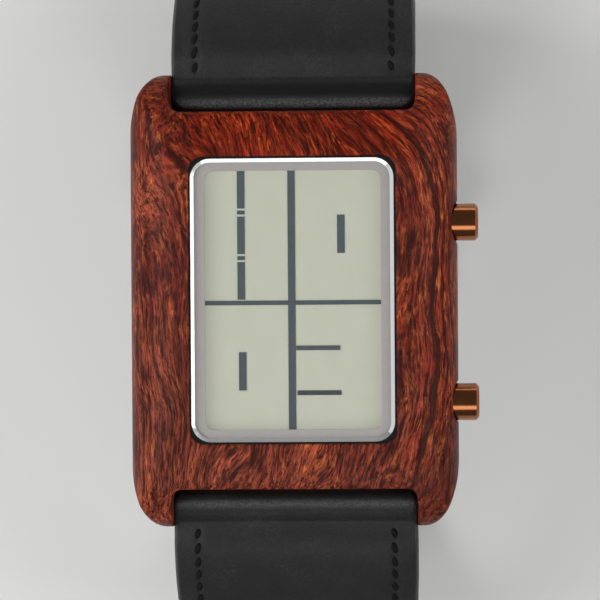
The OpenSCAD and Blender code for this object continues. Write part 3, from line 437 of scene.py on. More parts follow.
def dressed(name, group, strength, distance, levels=None, **inputs):
    """A shaded material with the group's bump; levels are the shader's own inputs."""
    material, tree, shader, node = shaded(name, group, **inputs)
    bump = add(tree, "ShaderNodeBump", inputs={"Strength": strength, "Distance": distance})
    tree.links.new(node.outputs["Height"], bump.inputs["Height"])
    tree.links.new(bump.outputs["Normal"], shader.inputs["Normal"])
    for label, level in (levels or {}).items():
        shader.inputs[label].default_value = level
    return material


SPECULAR = "Specular IOR Level"


# The last colour deepens the red of the top bar as painted shade
def rosewood(name, looks):
    return dressed(name, "Rosewood Grain", 0.35, 0.00008, {SPECULAR: 0.07},
                   Dark=looks.wood_dark, Shadow=looks.wood_shadow, Mid=looks.wood_mid, Blush=looks.wood_pale_and_sheen,
                   Light=looks.wood_light, Deep=(1.0, 0.62, 0.42), Figure=1.0, Pores=1.0, Lean=1.0)


# The last two colours are a painted highlight on the folds and a painted shade behind the upper fold; the last number
# turns this painted light on
def leather(name, base, worn, gloss, grain, strength=0.3, painted_light=0.0):
    return dressed(name, "Leather Grain", strength, 0.00010, {SPECULAR: 0.22},
                   Base=base, Worn=worn, Gloss=gloss, Grain=grain, Fold=(0.170, 0.170, 0.172),
                   Crease=(0.004, 0.004, 0.004), Fold_Wear=painted_light)


def metal(name, base, shade, roughness, lines, strength=0.12):
    return dressed(name, "Brushed Lines", strength, 0.00003, {"Metallic": 1.0},
                   Base=base, Shade=shade, Roughness=roughness, Lines=lines)


def mottled(name, base, shade, size, roughness, amount, strength=0.1, specular=0.4):
    return dressed(name, "Fine Mottle", strength, 0.00004, {SPECULAR: specular},
                   Base=base, Shade=shade, Size=size, Roughness=roughness, Amount=amount)


def clear_layer(name, tint, shade, alpha, roughness):
    """A thin clear sheet, mostly see-through."""
    return dressed(name, "Fine Mottle", 0.02, 0.00001, {SPECULAR: 0.1, "Alpha": alpha},
                   Base=tint, Shade=shade, Size=0.5, Roughness=roughness, Amount=0.5)


def crystal_glass(name):
    """Clear flat face and a bright polished bevel, told apart by which way the surface faces."""
    material, tree, shader, _ = shaded(name, "Fine Mottle", Base=(0.88, 0.90, 0.91), Shade=(0.84, 0.86, 0.88),
                                       Size=0.4, Roughness=0.06, Amount=0.5)
    normal = Signal(tree, tree.nodes.new("ShaderNodeTexCoord").outputs["Normal"])
    bevel = abs(normal.parts()[2]).span(0.90, 0.97, 0.85, 0.0)
    facing = Signal(tree, add(tree, "ShaderNodeFresnel", inputs={"IOR": 1.5}).outputs[0])
    outer = 1.0 - Signal(tree, tree.nodes.new("ShaderNodeNewGeometry").outputs["Backfacing"])
    bevel.math("ADD", facing * 0.4 * outer, clamp=True).feed(shader.inputs["Alpha"])
    shader.inputs["Metallic"].default_value = 0.75
    return material


def grey(level):
    return (level, level, level)


def finish_materials(looks):
    """Every finish by the record's slot name: its maker, and what the maker takes after the name."""
    finishes = {
        "rosewood": (rosewood, looks),
        "steel_brushed": (metal, (0.708, 0.696, 0.673), (0.472, 0.460, 0.448), 0.30, 1.0, 0.2),
        "steel_polished": (metal, (0.826, 0.814, 0.802), (0.684, 0.673, 0.661), 0.16, 0.4),
        "copper_plate": (metal, looks.copper, (0.2100, 0.0720, 0.0280), 0.15, 0.3, 0.06),
        "black_rubber": (mottled, grey(0.0089), grey(0.0178), 3.0, 0.8, 0.6, 0.1, 0.06),
        "crystal_glass": (crystal_glass,),
        "mask_grey": (mottled, looks.mask, (0.407, 0.3878, 0.373), 1.2, 0.42, 0.4, 0.04),
        "polarizer": (clear_layer, (0.60, 0.61, 0.53), (0.56, 0.57, 0.50), 0.03, 0.25),
        "display_glass": (clear_layer, (0.70, 0.72, 0.65), (0.66, 0.68, 0.61), 0.01, 0.08),
        "segment_ink": (mottled, looks.segments, (0.0666, 0.0918, 0.1095), 1.0, 0.5, 0.5, 0.02, 0.1),
        "epoxy_seal": (mottled, (0.444, 0.444, 0.3996), (0.3256, 0.3256, 0.296), 3.0, 0.5, 0.5),
        "reflector": (mottled, looks.display, (0.5170, 0.5330, 0.4270), 0.35, 0.5, 0.8, 0.05, 0.2),
        "light_guide": (mottled, (0.8, 0.81, 0.7), (0.72, 0.73, 0.63), 1.5, 0.35, 0.5),
        "module_plastic": (mottled, (0.7, 0.7, 0.65), (0.6, 0.6, 0.55), 5.0, 0.5, 0.5),
        "elastomer": (mottled, (0.5624, 0.3256, 0.37), (0.444, 0.2368, 0.2812), 8.0, 0.6, 0.6),
        "board_green": (mottled, (0.0444, 0.2072, 0.074), (0.0296, 0.1332, 0.0518), 1.5, 0.35, 0.6),
        "chip_black": (mottled, (0.0222, 0.0222, 0.0266), (0.0444, 0.0444, 0.0488), 6.0, 0.45, 0.6),
        "component_tan": (mottled, (0.6364, 0.37, 0.148), (0.888, 0.8584, 0.7992), 1.0, 0.4, 0.8),
        "cell_steel": (metal, (0.708, 0.708, 0.673), (0.531, 0.531, 0.507), 0.28, 0.6),
        "contact_gold": (metal, (0.900, 0.614, 0.189), (0.708, 0.448, 0.118), 0.22, 0.5),
        # The strap leather's last number turns on the painted highlights on the folds and the painted shade behind
        # the upper fold
        "strap_leather": (leather, looks.leather, (0.0252, 0.0252, 0.0259), 0.50, 1.0, 0.6, 1.0),
        "strap_lining": (leather, grey(0.0266), (0.0444, 0.0429, 0.0414), 0.62, 1.5, 0.5),
        "strap_edge": (mottled, grey(0.0207), grey(0.0444), 2.0, 0.42, 0.5, 0.3),
        "padding": (mottled, (0.148, 0.1184, 0.0888), (0.0888, 0.074, 0.0592), 4.0, 0.9, 0.8),
        "keeper_leather": (leather, grey(0.0266), grey(0.0444), 0.48, 1.0, 0.6),
        "thread": (mottled, (0.0033, 0.0033, 0.0036), (0.0118, 0.0118, 0.0126), 9.0, 0.7, 0.6, 0.4, 0.12),
    }
    return {name: maker(name, *values) for name, (maker, *values) in finishes.items()}


def material(name):
    return bpy.data.materials["finish_" + name]


# Strap route, in millimetres, along the same line as the strap's solids

class Route:
    """Where the two strap halves run, from the sizes in the panel.

    s is the way along a half from its lug bar, u the way along the back stretch from the end of the bend,
    and n stands out of the strap. A place is given as Y and Z.
    """

    def __init__(self, sizes):
        self.wide = sizes.width / MM / 2
        self.slim = sizes.width_end / MM / 2
        self.taper = sizes.taper_depth / MM
        self.skin = sizes.skin / MM
        self.pad = sizes.pad / MM
        self.fold = sizes.fold_radius / MM
        self.bar_y = sizes.bar_y / MM
        self.bar_z = sizes.bar_z / MM
        self.lead = sizes.lead / MM
        self.drop = sizes.drop
        self.slope = sizes.back_slope
        self.bend = sizes.bend / MM
        self.at = sizes.buckle_at / MM
        self.over = sizes.tail_over / MM
        lead_y, lead_z = self.on_lead(self.lead, 0.0)
        self.bend_y = lead_y - self.bend * math.sin(self.drop)
        self.bend_z = lead_z - self.bend * math.cos(self.drop)
        self.back_y = self.bend_y + self.bend * math.sin(self.slope)
        self.back_z = self.bend_z - self.bend * math.cos(self.slope)
        rise = math.tan(self.slope)
        turn = math.cos(self.slope) + math.cos(self.drop)
        self.low = ((lead_z - self.back_z + rise * (self.back_y + lead_y))
                    / (turn + (math.sin(self.drop) + math.sin(self.slope)) * rise))
        self.low_y = lead_y - self.low * math.sin(self.drop)
        self.low_z = lead_z - self.low * math.cos(self.drop)
        self.back = (self.back_y + self.low_y - self.low * math.sin(self.slope)) / math.cos(self.slope)
        self.top_arc = self.bend * (math.pi - self.drop - self.slope)
        self.low_arc = self.low * (math.pi - self.drop + self.slope)
        self.top_len = self.lead + self.top_arc + self.at
        self.tail_len = self.lead + self.low_arc + self.back + self.over
        # The padding's start, full height, fall and end along a half
        self.padded = (0.2, 4.6, 10.0, 33.0)
        # The loose end rises over the buckle's bar, between these places beside the bar
        self.lift = 3.15
        self.rise_from = 10.6
        self.rise_to = 3.0
        self.cross = (self.rise_from + self.rise_to) / 2

    def padding(self, s):
        start, full, fall, end = self.padded
        if s <= start or s >= end:
            return 0.0
        if s < full:
            return self.pad * (1 - math.cos(math.pi * (s - start) / (full - start))) / 2
        if s < fall:
            return self.pad
        return self.pad * (1 + math.cos(math.pi * (s - fall) / (end - fall))) / 2

    def rise(self, v):
        if v >= self.rise_from:
            return 0.0
        if v <= self.rise_to:
            return self.lift
        return self.lift * (1 + math.cos(math.pi * (v - self.rise_to) / (self.rise_from - self.rise_to))) / 2

    def rise_slope(self, v):
        if v >= self.rise_from or v <= self.rise_to:
            return 0.0
        run = self.rise_from - self.rise_to
        return -self.lift * math.pi / run * math.sin(math.pi * (v - self.rise_to) / run) / 2

    def on_lead(self, s, n):
        return (self.bar_y + s * math.cos(self.drop) + n * math.sin(self.drop),
                self.bar_z - s * math.sin(self.drop) + n * math.cos(self.drop))

    def on_back(self, u, n):
        return (self.back_y - u * math.cos(self.slope) + n * math.sin(self.slope),
                self.back_z - u * math.sin(self.slope) - n * math.cos(self.slope))

    def top(self, s, n):
        if s <= self.lead:
            return self.on_lead(s, n)
        if s <= self.lead + self.top_arc:
            a = self.drop + (s - self.lead) / self.bend
            return (self.bend_y + (self.bend + n) * math.sin(a), self.bend_z + (self.bend + n) * math.cos(a))
        return self.on_back(s - self.lead - self.top_arc, n)

    def tail(self, u, n):
        """The lower half where it lies outside the upper one, past the buckle."""
        if u < 0:
            a = self.slope - u / self.bend
            reach = self.bend + self.lift + n
            return (self.bend_y + reach * math.sin(a), self.bend_z - reach * math.cos(a))
        m = self.rise_slope(u - self.at)
        k = math.hypot(1, m)
        return self.on_back(u - n * m / k, self.rise(u - self.at) + n / k)

    def bottom(self, s, n):
        if s <= self.lead:
            y, z = self.on_lead(s, n)
            return (-y, z)
        if s <= self.lead + self.low_arc:
            a = self.drop + (s - self.lead) / self.low
            return (-(self.low_y + (self.low + n) * math.sin(a)), self.low_z + (self.low + n) * math.cos(a))
        return self.tail(self.back - (s - self.lead - self.low_arc), n)

    def half_width(self, z):
        share = min(max(-z / self.taper, 0.0), 1.0)
        return self.wide + (self.slim - self.wide) * share


# Meshes from points in millimetres

def smooth(value, low, high):
    """Eases from 0 at low to 1 at high."""
    share = min(max((value - low) / (high - low), 0.0), 1.0)
    return share * share * (3 - 2 * share)


def spread(start, end, step):
    """Even places from start to end, at most a step apart."""
    count = max(1, math.ceil((end - start) / step))
    return [start + (end - start) * i / count for i in range(count + 1)]


def quarter(cx, cy, radius, start, steps):
    """Points of a quarter circle that begins at an angle in degrees."""
    angles = [math.radians(start + 90 * i / steps) for i in range(steps + 1)]
    return [(cx + radius * math.cos(a), cy + radius * math.sin(a)) for a in angles]


def loft_faces(rings, around, start=0, closed=False):
    """Faces between neighbouring rings of points; a closed loft joins the last ring to the first."""
    faces = []
    for j in range(rings if closed else rings - 1):
        a, b = start + j * around, start + (j + 1) % rings * around
        for i in range(around):
            k = (i + 1) % around
            faces.append([a + i, a + k, b + k, b + i])
    return faces


def link(name, data):
    piece = bpy.data.objects.new(name, data)
    bpy.context.scene.collection.objects.link(piece)
    return piece


def new_object(name, points, faces, finishes, face_finish=None):
    """A smooth mesh with its materials; face_finish gives each face's place in them."""
    mesh = bpy.data.meshes.new(name)
    mesh.from_pydata([(x * MM, y * MM, z * MM) for x, y, z in points], [], faces)
    mesh.validate()
    piece = link(name, mesh)
    for finish in finishes:
        mesh.materials.append(material(finish))
    for index, polygon in enumerate(mesh.polygons):
        polygon.use_smooth = True
        if face_finish:
            polygon.material_index = face_finish[index]
    return piece


def outward(piece):
    """Turns every face of a closed mesh to the outside."""
    work = bmesh.new()
    work.from_mesh(piece.data)
    bmesh.ops.recalc_face_normals(work, faces=work.faces[:])
    work.to_mesh(piece.data)
    work.free()


def apply_modifiers(piece):
    depsgraph = bpy.context.evaluated_depsgraph_get()
    mesh = bpy.data.meshes.new_from_object(piece.evaluated_get(depsgraph))
    piece.modifiers.clear()
    piece.data = mesh


# Distances inside the edge at which a section of the strap has its points, closest at the edge and the groove
EDGE_STEPS = (0.0, 0.05, 0.17, 0.36, 0.6, 1.0, 1.5, 2.0, 2.3, 2.45, 2.6, 2.75, 2.9, 3.3, 3.9, 5.0, 7.5, 10.5)
LEATHER, EDGE, LINING = 0, 1, 2
OUTER_EDGE_FACES, INNER_EDGE_FACES = 3, 2
OUTER_ROUND, INNER_ROUND = 0.6, 0.4
CROWN = 0.10
FOLD_BLEND = 0.2
NARROW_SECTION = 11.0
# The padding's share that is lost at the edge, and the distances inside the edge over which it comes back
SHOULDER, SHOULDER_RUN = 0.34, (0.3, 3.3)
# Places along a half where the stitching begins, and distances from the buckle bar where it ends
SEWN_FROM, SEWN_TO = (1.6, 2.6), (4.0, 2.5)
# The stitch groove: its distance inside the edge, its depth and width, and the half width below which it is left out
GROOVE_PLACE, GROOVE_OUTER, GROOVE_INNER, GROOVE_NARROW = 2.6, (0.20, 0.36), (0.09, 0.34), 4


def rounding(d, radius):
    """How far a rounded edge lies below its face, at a distance d from the side."""
    return 0.0 if d >= radius else radius - math.sqrt(max(radius * radius - (radius - d) ** 2, 0.0))


def groove(d, half, sewn, size):
    """Depth of the stitch groove at a distance d from the side; sewn is 0 where there is no stitching, else 1."""
    depth, width = size
    return depth * sewn * math.exp(-((d - GROOVE_PLACE) / width) ** 2) if half > GROOVE_NARROW else 0.0


def face_zone(i, count):
    """Which finish the face after point i of a section has."""
    if i < 2 * count - 1:
        return LEATHER if min(i, 2 * count - 2 - i) >= OUTER_EDGE_FACES else EDGE
    if 2 * count <= i < 4 * count - 1:
        return LINING if min(i - 2 * count, 4 * count - 2 - i) >= INNER_EDGE_FACES else EDGE
    return EDGE


class StrapHalf:
    """One strap half as a loft of closed sections.

    at gives a place from s and n, stations are the sections' places along the half, and width is half its
    width at s.
    """

    def __init__(self, route, at, stations, width, has_buckle_fold):
        self.route = route
        self.at = at
        self.stations = stations
        self.width = width
        self.has_buckle_fold = has_buckle_fold

    def heights(self, s):
        """Outer and inner height beside the reference line: rings round the bars that run into flat skins."""
        route = self.route
        ring = max(route.fold ** 3 - abs(s) ** 3, 0.0) ** (1 / 3)
        if s <= 0:
            return ring, ring
        swell = route.skin + route.padding(s)
        outer = (ring ** 6 + swell ** 6) ** (1 / 6) if ring > 0 else swell
        inner = max(ring, route.skin)
        left = route.top_len - s
        if self.has_buckle_fold and left < route.fold + FOLD_BLEND:
            ring = max(route.fold ** 3 - abs(left) ** 3, 0.0) ** (1 / 3)
            outer = inner = max(ring, route.skin if left > 0 else 0.0)
        return outer, inner

    def outer_height(self, s, d, half):
        """Outer height at a distance d inside the strap's edge."""
        outer, _ = self.heights(s)
        shoulder = SHOULDER * self.route.padding(s) * (1 - smooth(d, *SHOULDER_RUN))
        sewn = smooth(s, *SEWN_FROM)
        if self.has_buckle_fold:
            sewn *= 1 - smooth(s, *(self.route.top_len - distance for distance in SEWN_TO))
        crown = CROWN * (1 - smooth(d, 0.0, half))
        return (outer - rounding(d, min(OUTER_ROUND, outer * 0.8)) - shoulder
                - groove(d, half, sewn, GROOVE_OUTER) - crown * sewn)

    def inner_height(self, s, d, half):
        _, inner = self.heights(s)
        return -(inner - rounding(d, min(INNER_ROUND, inner * 0.6))
                 - groove(d, half, smooth(s, *SEWN_FROM), GROOVE_INNER))

    def build(self, name, finishes):
        points = []
        count = len(EDGE_STEPS)
        ring = 4 * count
        for s in self.stations:
            half = self.width(s)
            # A narrow section draws its points together, so that they don't pass its middle
            offsets = [min(d, half * (0.3 + 0.7 * i / (count - 1)) if half < EDGE_STEPS[-1] else d)
                       for i, d in enumerate(EDGE_STEPS)]
            offsets = [d * min(1.0, half / NARROW_SECTION) for d in offsets]
            xs = [-half + d for d in offsets] + [half - d for d in reversed(offsets)]
            section = [(x, self.outer_height(s, half - abs(x), half)) for x in xs]
            section += [(x, self.inner_height(s, half - abs(x), half)) for x in reversed(xs)]
            points += [(x, *self.at(s, n)) for x, n in section]
        sections = len(self.stations)
        faces = loft_faces(sections, ring)
        faces.append(list(range(ring)))
        faces.append([(sections - 1) * ring + i for i in reversed(range(ring))])
        face_finish = [face_zone(i, count) for i in range(ring)] * (sections - 1) + [EDGE, EDGE]
        piece = new_object(name, points, faces, finishes, face_finish)
        outward(piece)
        return piece

    def face_at(self, s, x, outer):
        """A place on a face of the strap and the way out of it."""
        step = 0.05
        half = self.width(s)
        height = self.outer_height if outer else self.inner_height

        def place(t, across):
            return Vector((across, *self.at(t, height(t, max(half - abs(across), 0.0), half))))

        along = (place(s + step, x) - place(s - step, x)).normalized()
        side = (place(s, x + step) - place(s, x - step)).normalized()
        out = along.cross(side).normalized()
        y0, z0 = self.at(s, 0.0)
        y1, z1 = self.at(s, 1.0 if outer else -1.0)
        if out.dot(Vector((0.0, y1 - y0, z1 - z0))) < 0:
            out = -out
        return place(s, x), out


# A stitch covers a share of the pitch and is made of rings of points. Its lift above the face is a share of the
# thread, its slant is measured against the row, whose direction is taken between points that lie a few apart.
STITCH_SHARE = 0.80
STITCH_RINGS, STITCH_AROUND = 6, 7
STITCH_LIFT_OUTER, STITCH_LIFT_INNER = 0.16, -0.15
STITCH_SLANT, STITCH_TWIST = 0.34, 1.9
STITCH_LOOK = 3


def stitch_places(half, row, outer, pitch):
    """Which points of a row get a stitch, one every pitch along the face."""
    travelled, due, last = 0.0, 0.0, None
    for index, (s, x) in enumerate(row):
        here, _ = half.face_at(s, x, outer)
        if last is not None:
            travelled += (here - last).length
        last = here
        if travelled >= due:
            due += pitch
            yield index


def stitch_points(half, row, index, outer, length, thread):
    """Rings of points of one slanted stitch, sunk at both ends."""
    x = row[index][1]
    centre, out = half.face_at(*row[index], outer)
    ahead, _ = half.face_at(*row[min(index + STITCH_LOOK, len(row) - 1)], outer)
    back, _ = half.face_at(*row[max(index - STITCH_LOOK, 0)], outer)
    forward = (ahead - back).normalized()
    side = out.cross(forward).normalized()
    slant = STITCH_SLANT + random.uniform(-0.05, 0.05)
    way = (forward + side * slant * (1 if x > 0 else -1)).normalized()
    cross = out.cross(way).normalized()
    lift = thread * (STITCH_LIFT_OUTER if outer else STITCH_LIFT_INNER)
    points = []
    for i in range(STITCH_RINGS):
        t = i / (STITCH_RINGS - 1)
        swell = math.sin(math.pi * (0.08 + 0.84 * t)) ** 0.55
        sink = -0.22 * (2 * t - 1) ** 2
        middle = centre + way * length * (t - 0.5) + out * (lift + sink * 0.6)
        for k in range(STITCH_AROUND):
            a = 2 * math.pi * k / STITCH_AROUND + t * STITCH_TWIST
            r = thread / 2 * swell * (1.0 + 0.13 * math.cos(2 * a))
            points.append(tuple(middle + (cross * math.cos(a) + out * math.sin(a) * 0.86) * r))
    return points


def stitch_mesh(name, half, rows, pitch, thread):
    """Short slanted stitches of twisted thread, laid in the grooves of both faces."""
    random.seed(11)
    points, faces = [], []
    last_ring = (STITCH_RINGS - 1) * STITCH_AROUND
    for outer in (True, False):
        for row in rows:
            for index in stitch_places(half, row, outer, pitch):
                start = len(points)
                points += stitch_points(half, row, index, outer, pitch * STITCH_SHARE, thread)
                faces += loft_faces(STITCH_RINGS, STITCH_AROUND, start)
                faces.append([start + k for k in reversed(range(STITCH_AROUND))])
                faces.append([start + last_ring + k for k in range(STITCH_AROUND)])
    return new_object(name, points, faces, ["thread"])


def local_frame(at, s, step=0.02):
    """Middle of the strap at s, the way along and the way out."""
    y0, z0 = at(s - step, 0.0)
    y1, z1 = at(s + step, 0.0)
    y, z = at(s, 0.0)
    along = Vector((0.0, y1 - y0, z1 - z0)).normalized()
    oy, oz = at(s, 1.0)
    out = Vector((0.0, oy - y, oz - z)).normalized()
    return Vector((0.0, y, z)), along, out


def cut_holes(piece, at, places, finishes):
    """Round holes and slots through the strap: (s, half length, radius) each."""
    sides, reach_out = 32, 2.6
    points, faces = [], []
    for s, reach, radius in places:
        centre, along, out = local_frame(at, s)
        start = len(points)
        outline = []
        for i in range(sides):
            a = 2 * math.pi * i / sides
            shift = reach if math.cos(a) > 0 else -reach
            outline.append((radius * math.sin(a), radius * math.cos(a) + shift))
        for depth in (-reach_out, reach_out):
            points += [tuple(centre + along * v + out * depth + Vector((x, 0, 0))) for x, v in outline]
        faces.append([start + i for i in reversed(range(sides))])
        faces.append([start + sides + i for i in range(sides)])
        faces += loft_faces(2, sides, start)
    cutter = new_object("hole_cutter", points, faces, finishes, [EDGE] * len(faces))
    outward(cutter)
    modifier = piece.modifiers.new("holes", "BOOLEAN")
    modifier.operation = "DIFFERENCE"
    modifier.solver = "EXACT"
    modifier.material_mode = "INDEX"
    modifier.object = cutter
    apply_modifiers(piece)
    bpy.data.objects.remove(cutter, do_unlink=True)


def keeper_mesh(name, frame_here, inner_w, low, high, length, thick):
    """A closed leather band round the strap, with a pressed line along both edges of its outer face."""
    centre, along, out = frame_here
    corner, corner_steps, flat_steps = 1.3, 6, 14
    flat, bottom, top = inner_w / 2 + thick / 2 - corner, low - thick / 2, high + thick / 2
    run = [flat - 2 * flat * i / flat_steps for i in range(1, flat_steps)]
    path = quarter(flat, top - corner, corner, 0, corner_steps) + [(x, top) for x in run]
    path += quarter(-flat, top - corner, corner, 90, corner_steps)
    path += quarter(-flat, bottom + corner, corner, 180, corner_steps) + [(-x, bottom) for x in run]
    path += quarter(flat, bottom + corner, corner, 270, corner_steps)
    r = thick * 0.32
    half_long, half_thick = length / 2 - r, thick / 2 - r
    line_place, line = length / 2 - 0.95, ((0.2, 0.0), (0.07, 0.09), (-0.07, 0.09), (-0.2, 0.0))
    section = quarter(half_long, half_thick, r, 0, 4)
    section += [(edge * line_place + step, thick / 2 - depth) for edge in (1, -1) for step, depth in line]
    section += quarter(-half_long, half_thick, r, 90, 4)
    section += quarter(-half_long, -half_thick, r, 180, 4) + quarter(half_long, -half_thick, r, 270, 4)
    points = []
    total = len(path)
    for j, (x, n) in enumerate(path):
        px, pn = path[j - 1]
        qx, qn = path[(j + 1) % total]
        tangent = Vector((qx - px, qn - pn)).normalized()
        normal = Vector((tangent.y, -tangent.x))
        for v, w in section:
            place = centre + Vector((x + normal.x * w, 0, 0)) + out * (n + normal.y * w) + along * v
            points.append(tuple(place))
    piece = new_object(name, points, loft_faces(total, len(section), closed=True), ["keeper_leather"])
    outward(piece)
    return piece


# One operator per piece or group of pieces

def settings():
    scene = bpy.context.scene
    return scene.lcd_strap, scene.lcd_case, scene.lcd_stage


def soften(node, width, segments=2, angle=35.0):
    """Rounds the hard edges of a carried-over node by a modifier."""
    modifier = node.modifiers.new("soft_edges", "BEVEL")
    modifier.width = width * MM
    modifier.segments = segments
    modifier.limit_method = "ANGLE"
    modifier.angle_limit = math.radians(angle)
    modifier.use_clamp_overlap = True
    modifier.harden_normals = True


# Widths of the rounded edges, in millimetres
EDGE_WIDTHS = {
    "case_back": 0.12, "case_back_screws": 0.06, "crystal": 0.03, "upper_pusher": 0.16, "lower_pusher": 0.16,
    "upper_pusher_tube": 0.06, "lower_pusher_tube": 0.06, "buckle_frame": 0.28, "buckle_tongue": 0.22,
    "top_bar_tube": 0.08, "bottom_bar_tube": 0.08, "buckle_bar_tube": 0.08, "module_frame": 0.05,
    "battery": 0.1, "battery_clamp": 0.03, "circuit_board": 0.02, "driver_chip": 0.05,
}
SHARP_ANGLE = 32
REFLECTING = ("lcd_rear_glass", "rear_polarizer")
SHADOWLESS = ("crystal", "front_polarizer", "lcd_front_glass", "display_mask", "lcd_seal")


class LCDWATCH_OT_finishes(bpy.types.Operator):
    """Make every material and give each carried-over piece its finish"""
    bl_idname = "lcdwatch.finishes"
    bl_label = "Finishes"

    def execute(self, context):
        for make_group in (rosewood_group, leather_group, brushed_group, mottle_group):
            make_group()
        finishes = finish_materials(settings()[1])
        for part in frame["record"]["subparts"]:
            node = NODES[part["node"]]
            node.data.materials.clear()
            node.data.materials.append(finishes[part["material_slot"]])
            for polygon in node.data.polygons:
                polygon.use_smooth = True
            node.data.set_sharp_from_angle(angle=math.radians(SHARP_ANGLE))
        for name in REFLECTING:
            NODES[name].data.materials[0] = finishes["reflector"]
        for name in SHADOWLESS:
            NODES[name].visible_shadow = False
            NODES[name].visible_diffuse = False
        for name, width in EDGE_WIDTHS.items():
            soften(NODES[name], width)
        return {"FINISHED"}


# The carved case, in millimetres. Sanding draws the outline in, so it is first grown outside these distances.
CARVE_GRID = 0.22
GROW_X, GROW_X_RUN = 0.22, (14.5, 17.0)
GROW_Y, GROW_Y_RUN = 0.42, (20.5, 23.5)
# The shell is sanded most away from the crystal, above the back, and beside the pushers
FROM_CRYSTAL, FROM_BACK, FROM_PUSHER = (0.9, 2.4), (4.2, 6.2), (2.8, 4.5)
SANDINGS = (("sanded_all", 2, ""), ("sanded_shell", 16, "outer_shell"))
CASE_FACES_LEAST = 10000


class LCDWATCH_OT_case(bpy.types.Operator):
    """Carve the wood case with softly sanded edges"""
    bl_idname = "lcdwatch.case"
    bl_label = "Wood case"

    def execute(self, context):
        piece = link("rosewood_case", NODES["wood_case"].data.copy())
        remesh = piece.modifiers.new("even_mesh", "REMESH")
        remesh.mode = "VOXEL"
        remesh.voxel_size = CARVE_GRID * MM
        apply_modifiers(piece)
        outer = piece.vertex_groups.new(name="outer_shell")
        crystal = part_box("crystal")[1]
        pushers = [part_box(name + "_pusher") for name in ("upper", "lower")]
        pusher_places = [(low.y + high.y) / 2 for low, high in pushers]
        for vertex in piece.data.vertices:
            x, y, z = vertex.co
            away = max(abs(x) - crystal.x, abs(y) - crystal.y) / MM
            weight = smooth(away, *FROM_CRYSTAL) * smooth(z / MM, *FROM_BACK)
            if x > 0:
                weight *= smooth(min(abs(y - place) for place in pusher_places) / MM, *FROM_PUSHER)
            if weight > 0:
                outer.add([vertex.index], weight, "REPLACE")
            vertex.co.x += math.copysign(GROW_X, x) * MM * smooth(abs(x) / MM, *GROW_X_RUN)
            vertex.co.y += math.copysign(GROW_Y, y) * MM * smooth(abs(y) / MM, *GROW_Y_RUN)
        for name, rounds, group in SANDINGS:
            sand = piece.modifiers.new(name, "SMOOTH")
            sand.factor = 0.5
            sand.iterations = rounds
            sand.vertex_group = group
        apply_modifiers(piece)
        if len(piece.data.polygons) < CASE_FACES_LEAST:
            raise RuntimeError("the wood case came out too coarse")
        piece.data.materials.clear()
        piece.data.materials.append(material("rosewood"))
        for polygon in piece.data.polygons:
            polygon.use_smooth = True
        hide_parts("wood_case")
        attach(piece, "case")
        return {"FINISHED"}


STRAP_FINISHES = ["strap_leather", "strap_edge", "strap_lining"]
# Sizes of the strap, in millimetres: the rounded corners of a fold, how far its end stays from the full fold, the
# rounded tip and how far its last section stays from the end, and where the stitch rows begin and end
FOLD_CORNER = 1.15
FOLD_CLOSE = 0.004
TIP_RUN, TIP_CLOSE = 9.0, 0.01
STITCHES_FROM, STITCHES_TO_BUCKLE = 2.6, 3.2
ROW_STEP = 0.1
# Places of the sections along a half: close at the start, far apart on the long stretch, close before the buckle
START_STEPS = [0.25, 0.5, 0.75, 0.95, 1.15, 1.35, 1.55] + spread(1.7, 3.5, 0.2)
LONG_FROM, LONG_TO_BUCKLE, LONG_STEP = 3.9, 2.2, 0.8
BUCKLE_FROM, BUCKLE_STEP = 1.9, 0.19
FOLD_TURNS, TIP_TURNS, ROW_TURNS = 9, 26, 150
# Holes of the loose end, counted in pitches from the tongue's
HOLES = (-3, -2, -1, 1, 2)
# Slots for the tongue in the fold and in the loose end: shift along the strap, half length and radius
FOLD_SLOT, TONGUE_SLOT = (-0.5, 1.4, 1.15), (0.25, 1.15, 1.1)


def bulge(s):
    """How far an edge stands outside the solid's, most near the case and next to nothing from the keepers on."""
    return 0.20 + 0.04 * smooth(s, 2.6, 4.6) - 0.22 * smooth(s, 12.0, 28.0)


def turns(count, left_out=1):
    """Angles of a quarter turn in count steps. The start is left out, and so are the last ones."""
    return [math.pi / 2 * i / count for i in range(1, count + 1 - left_out)]


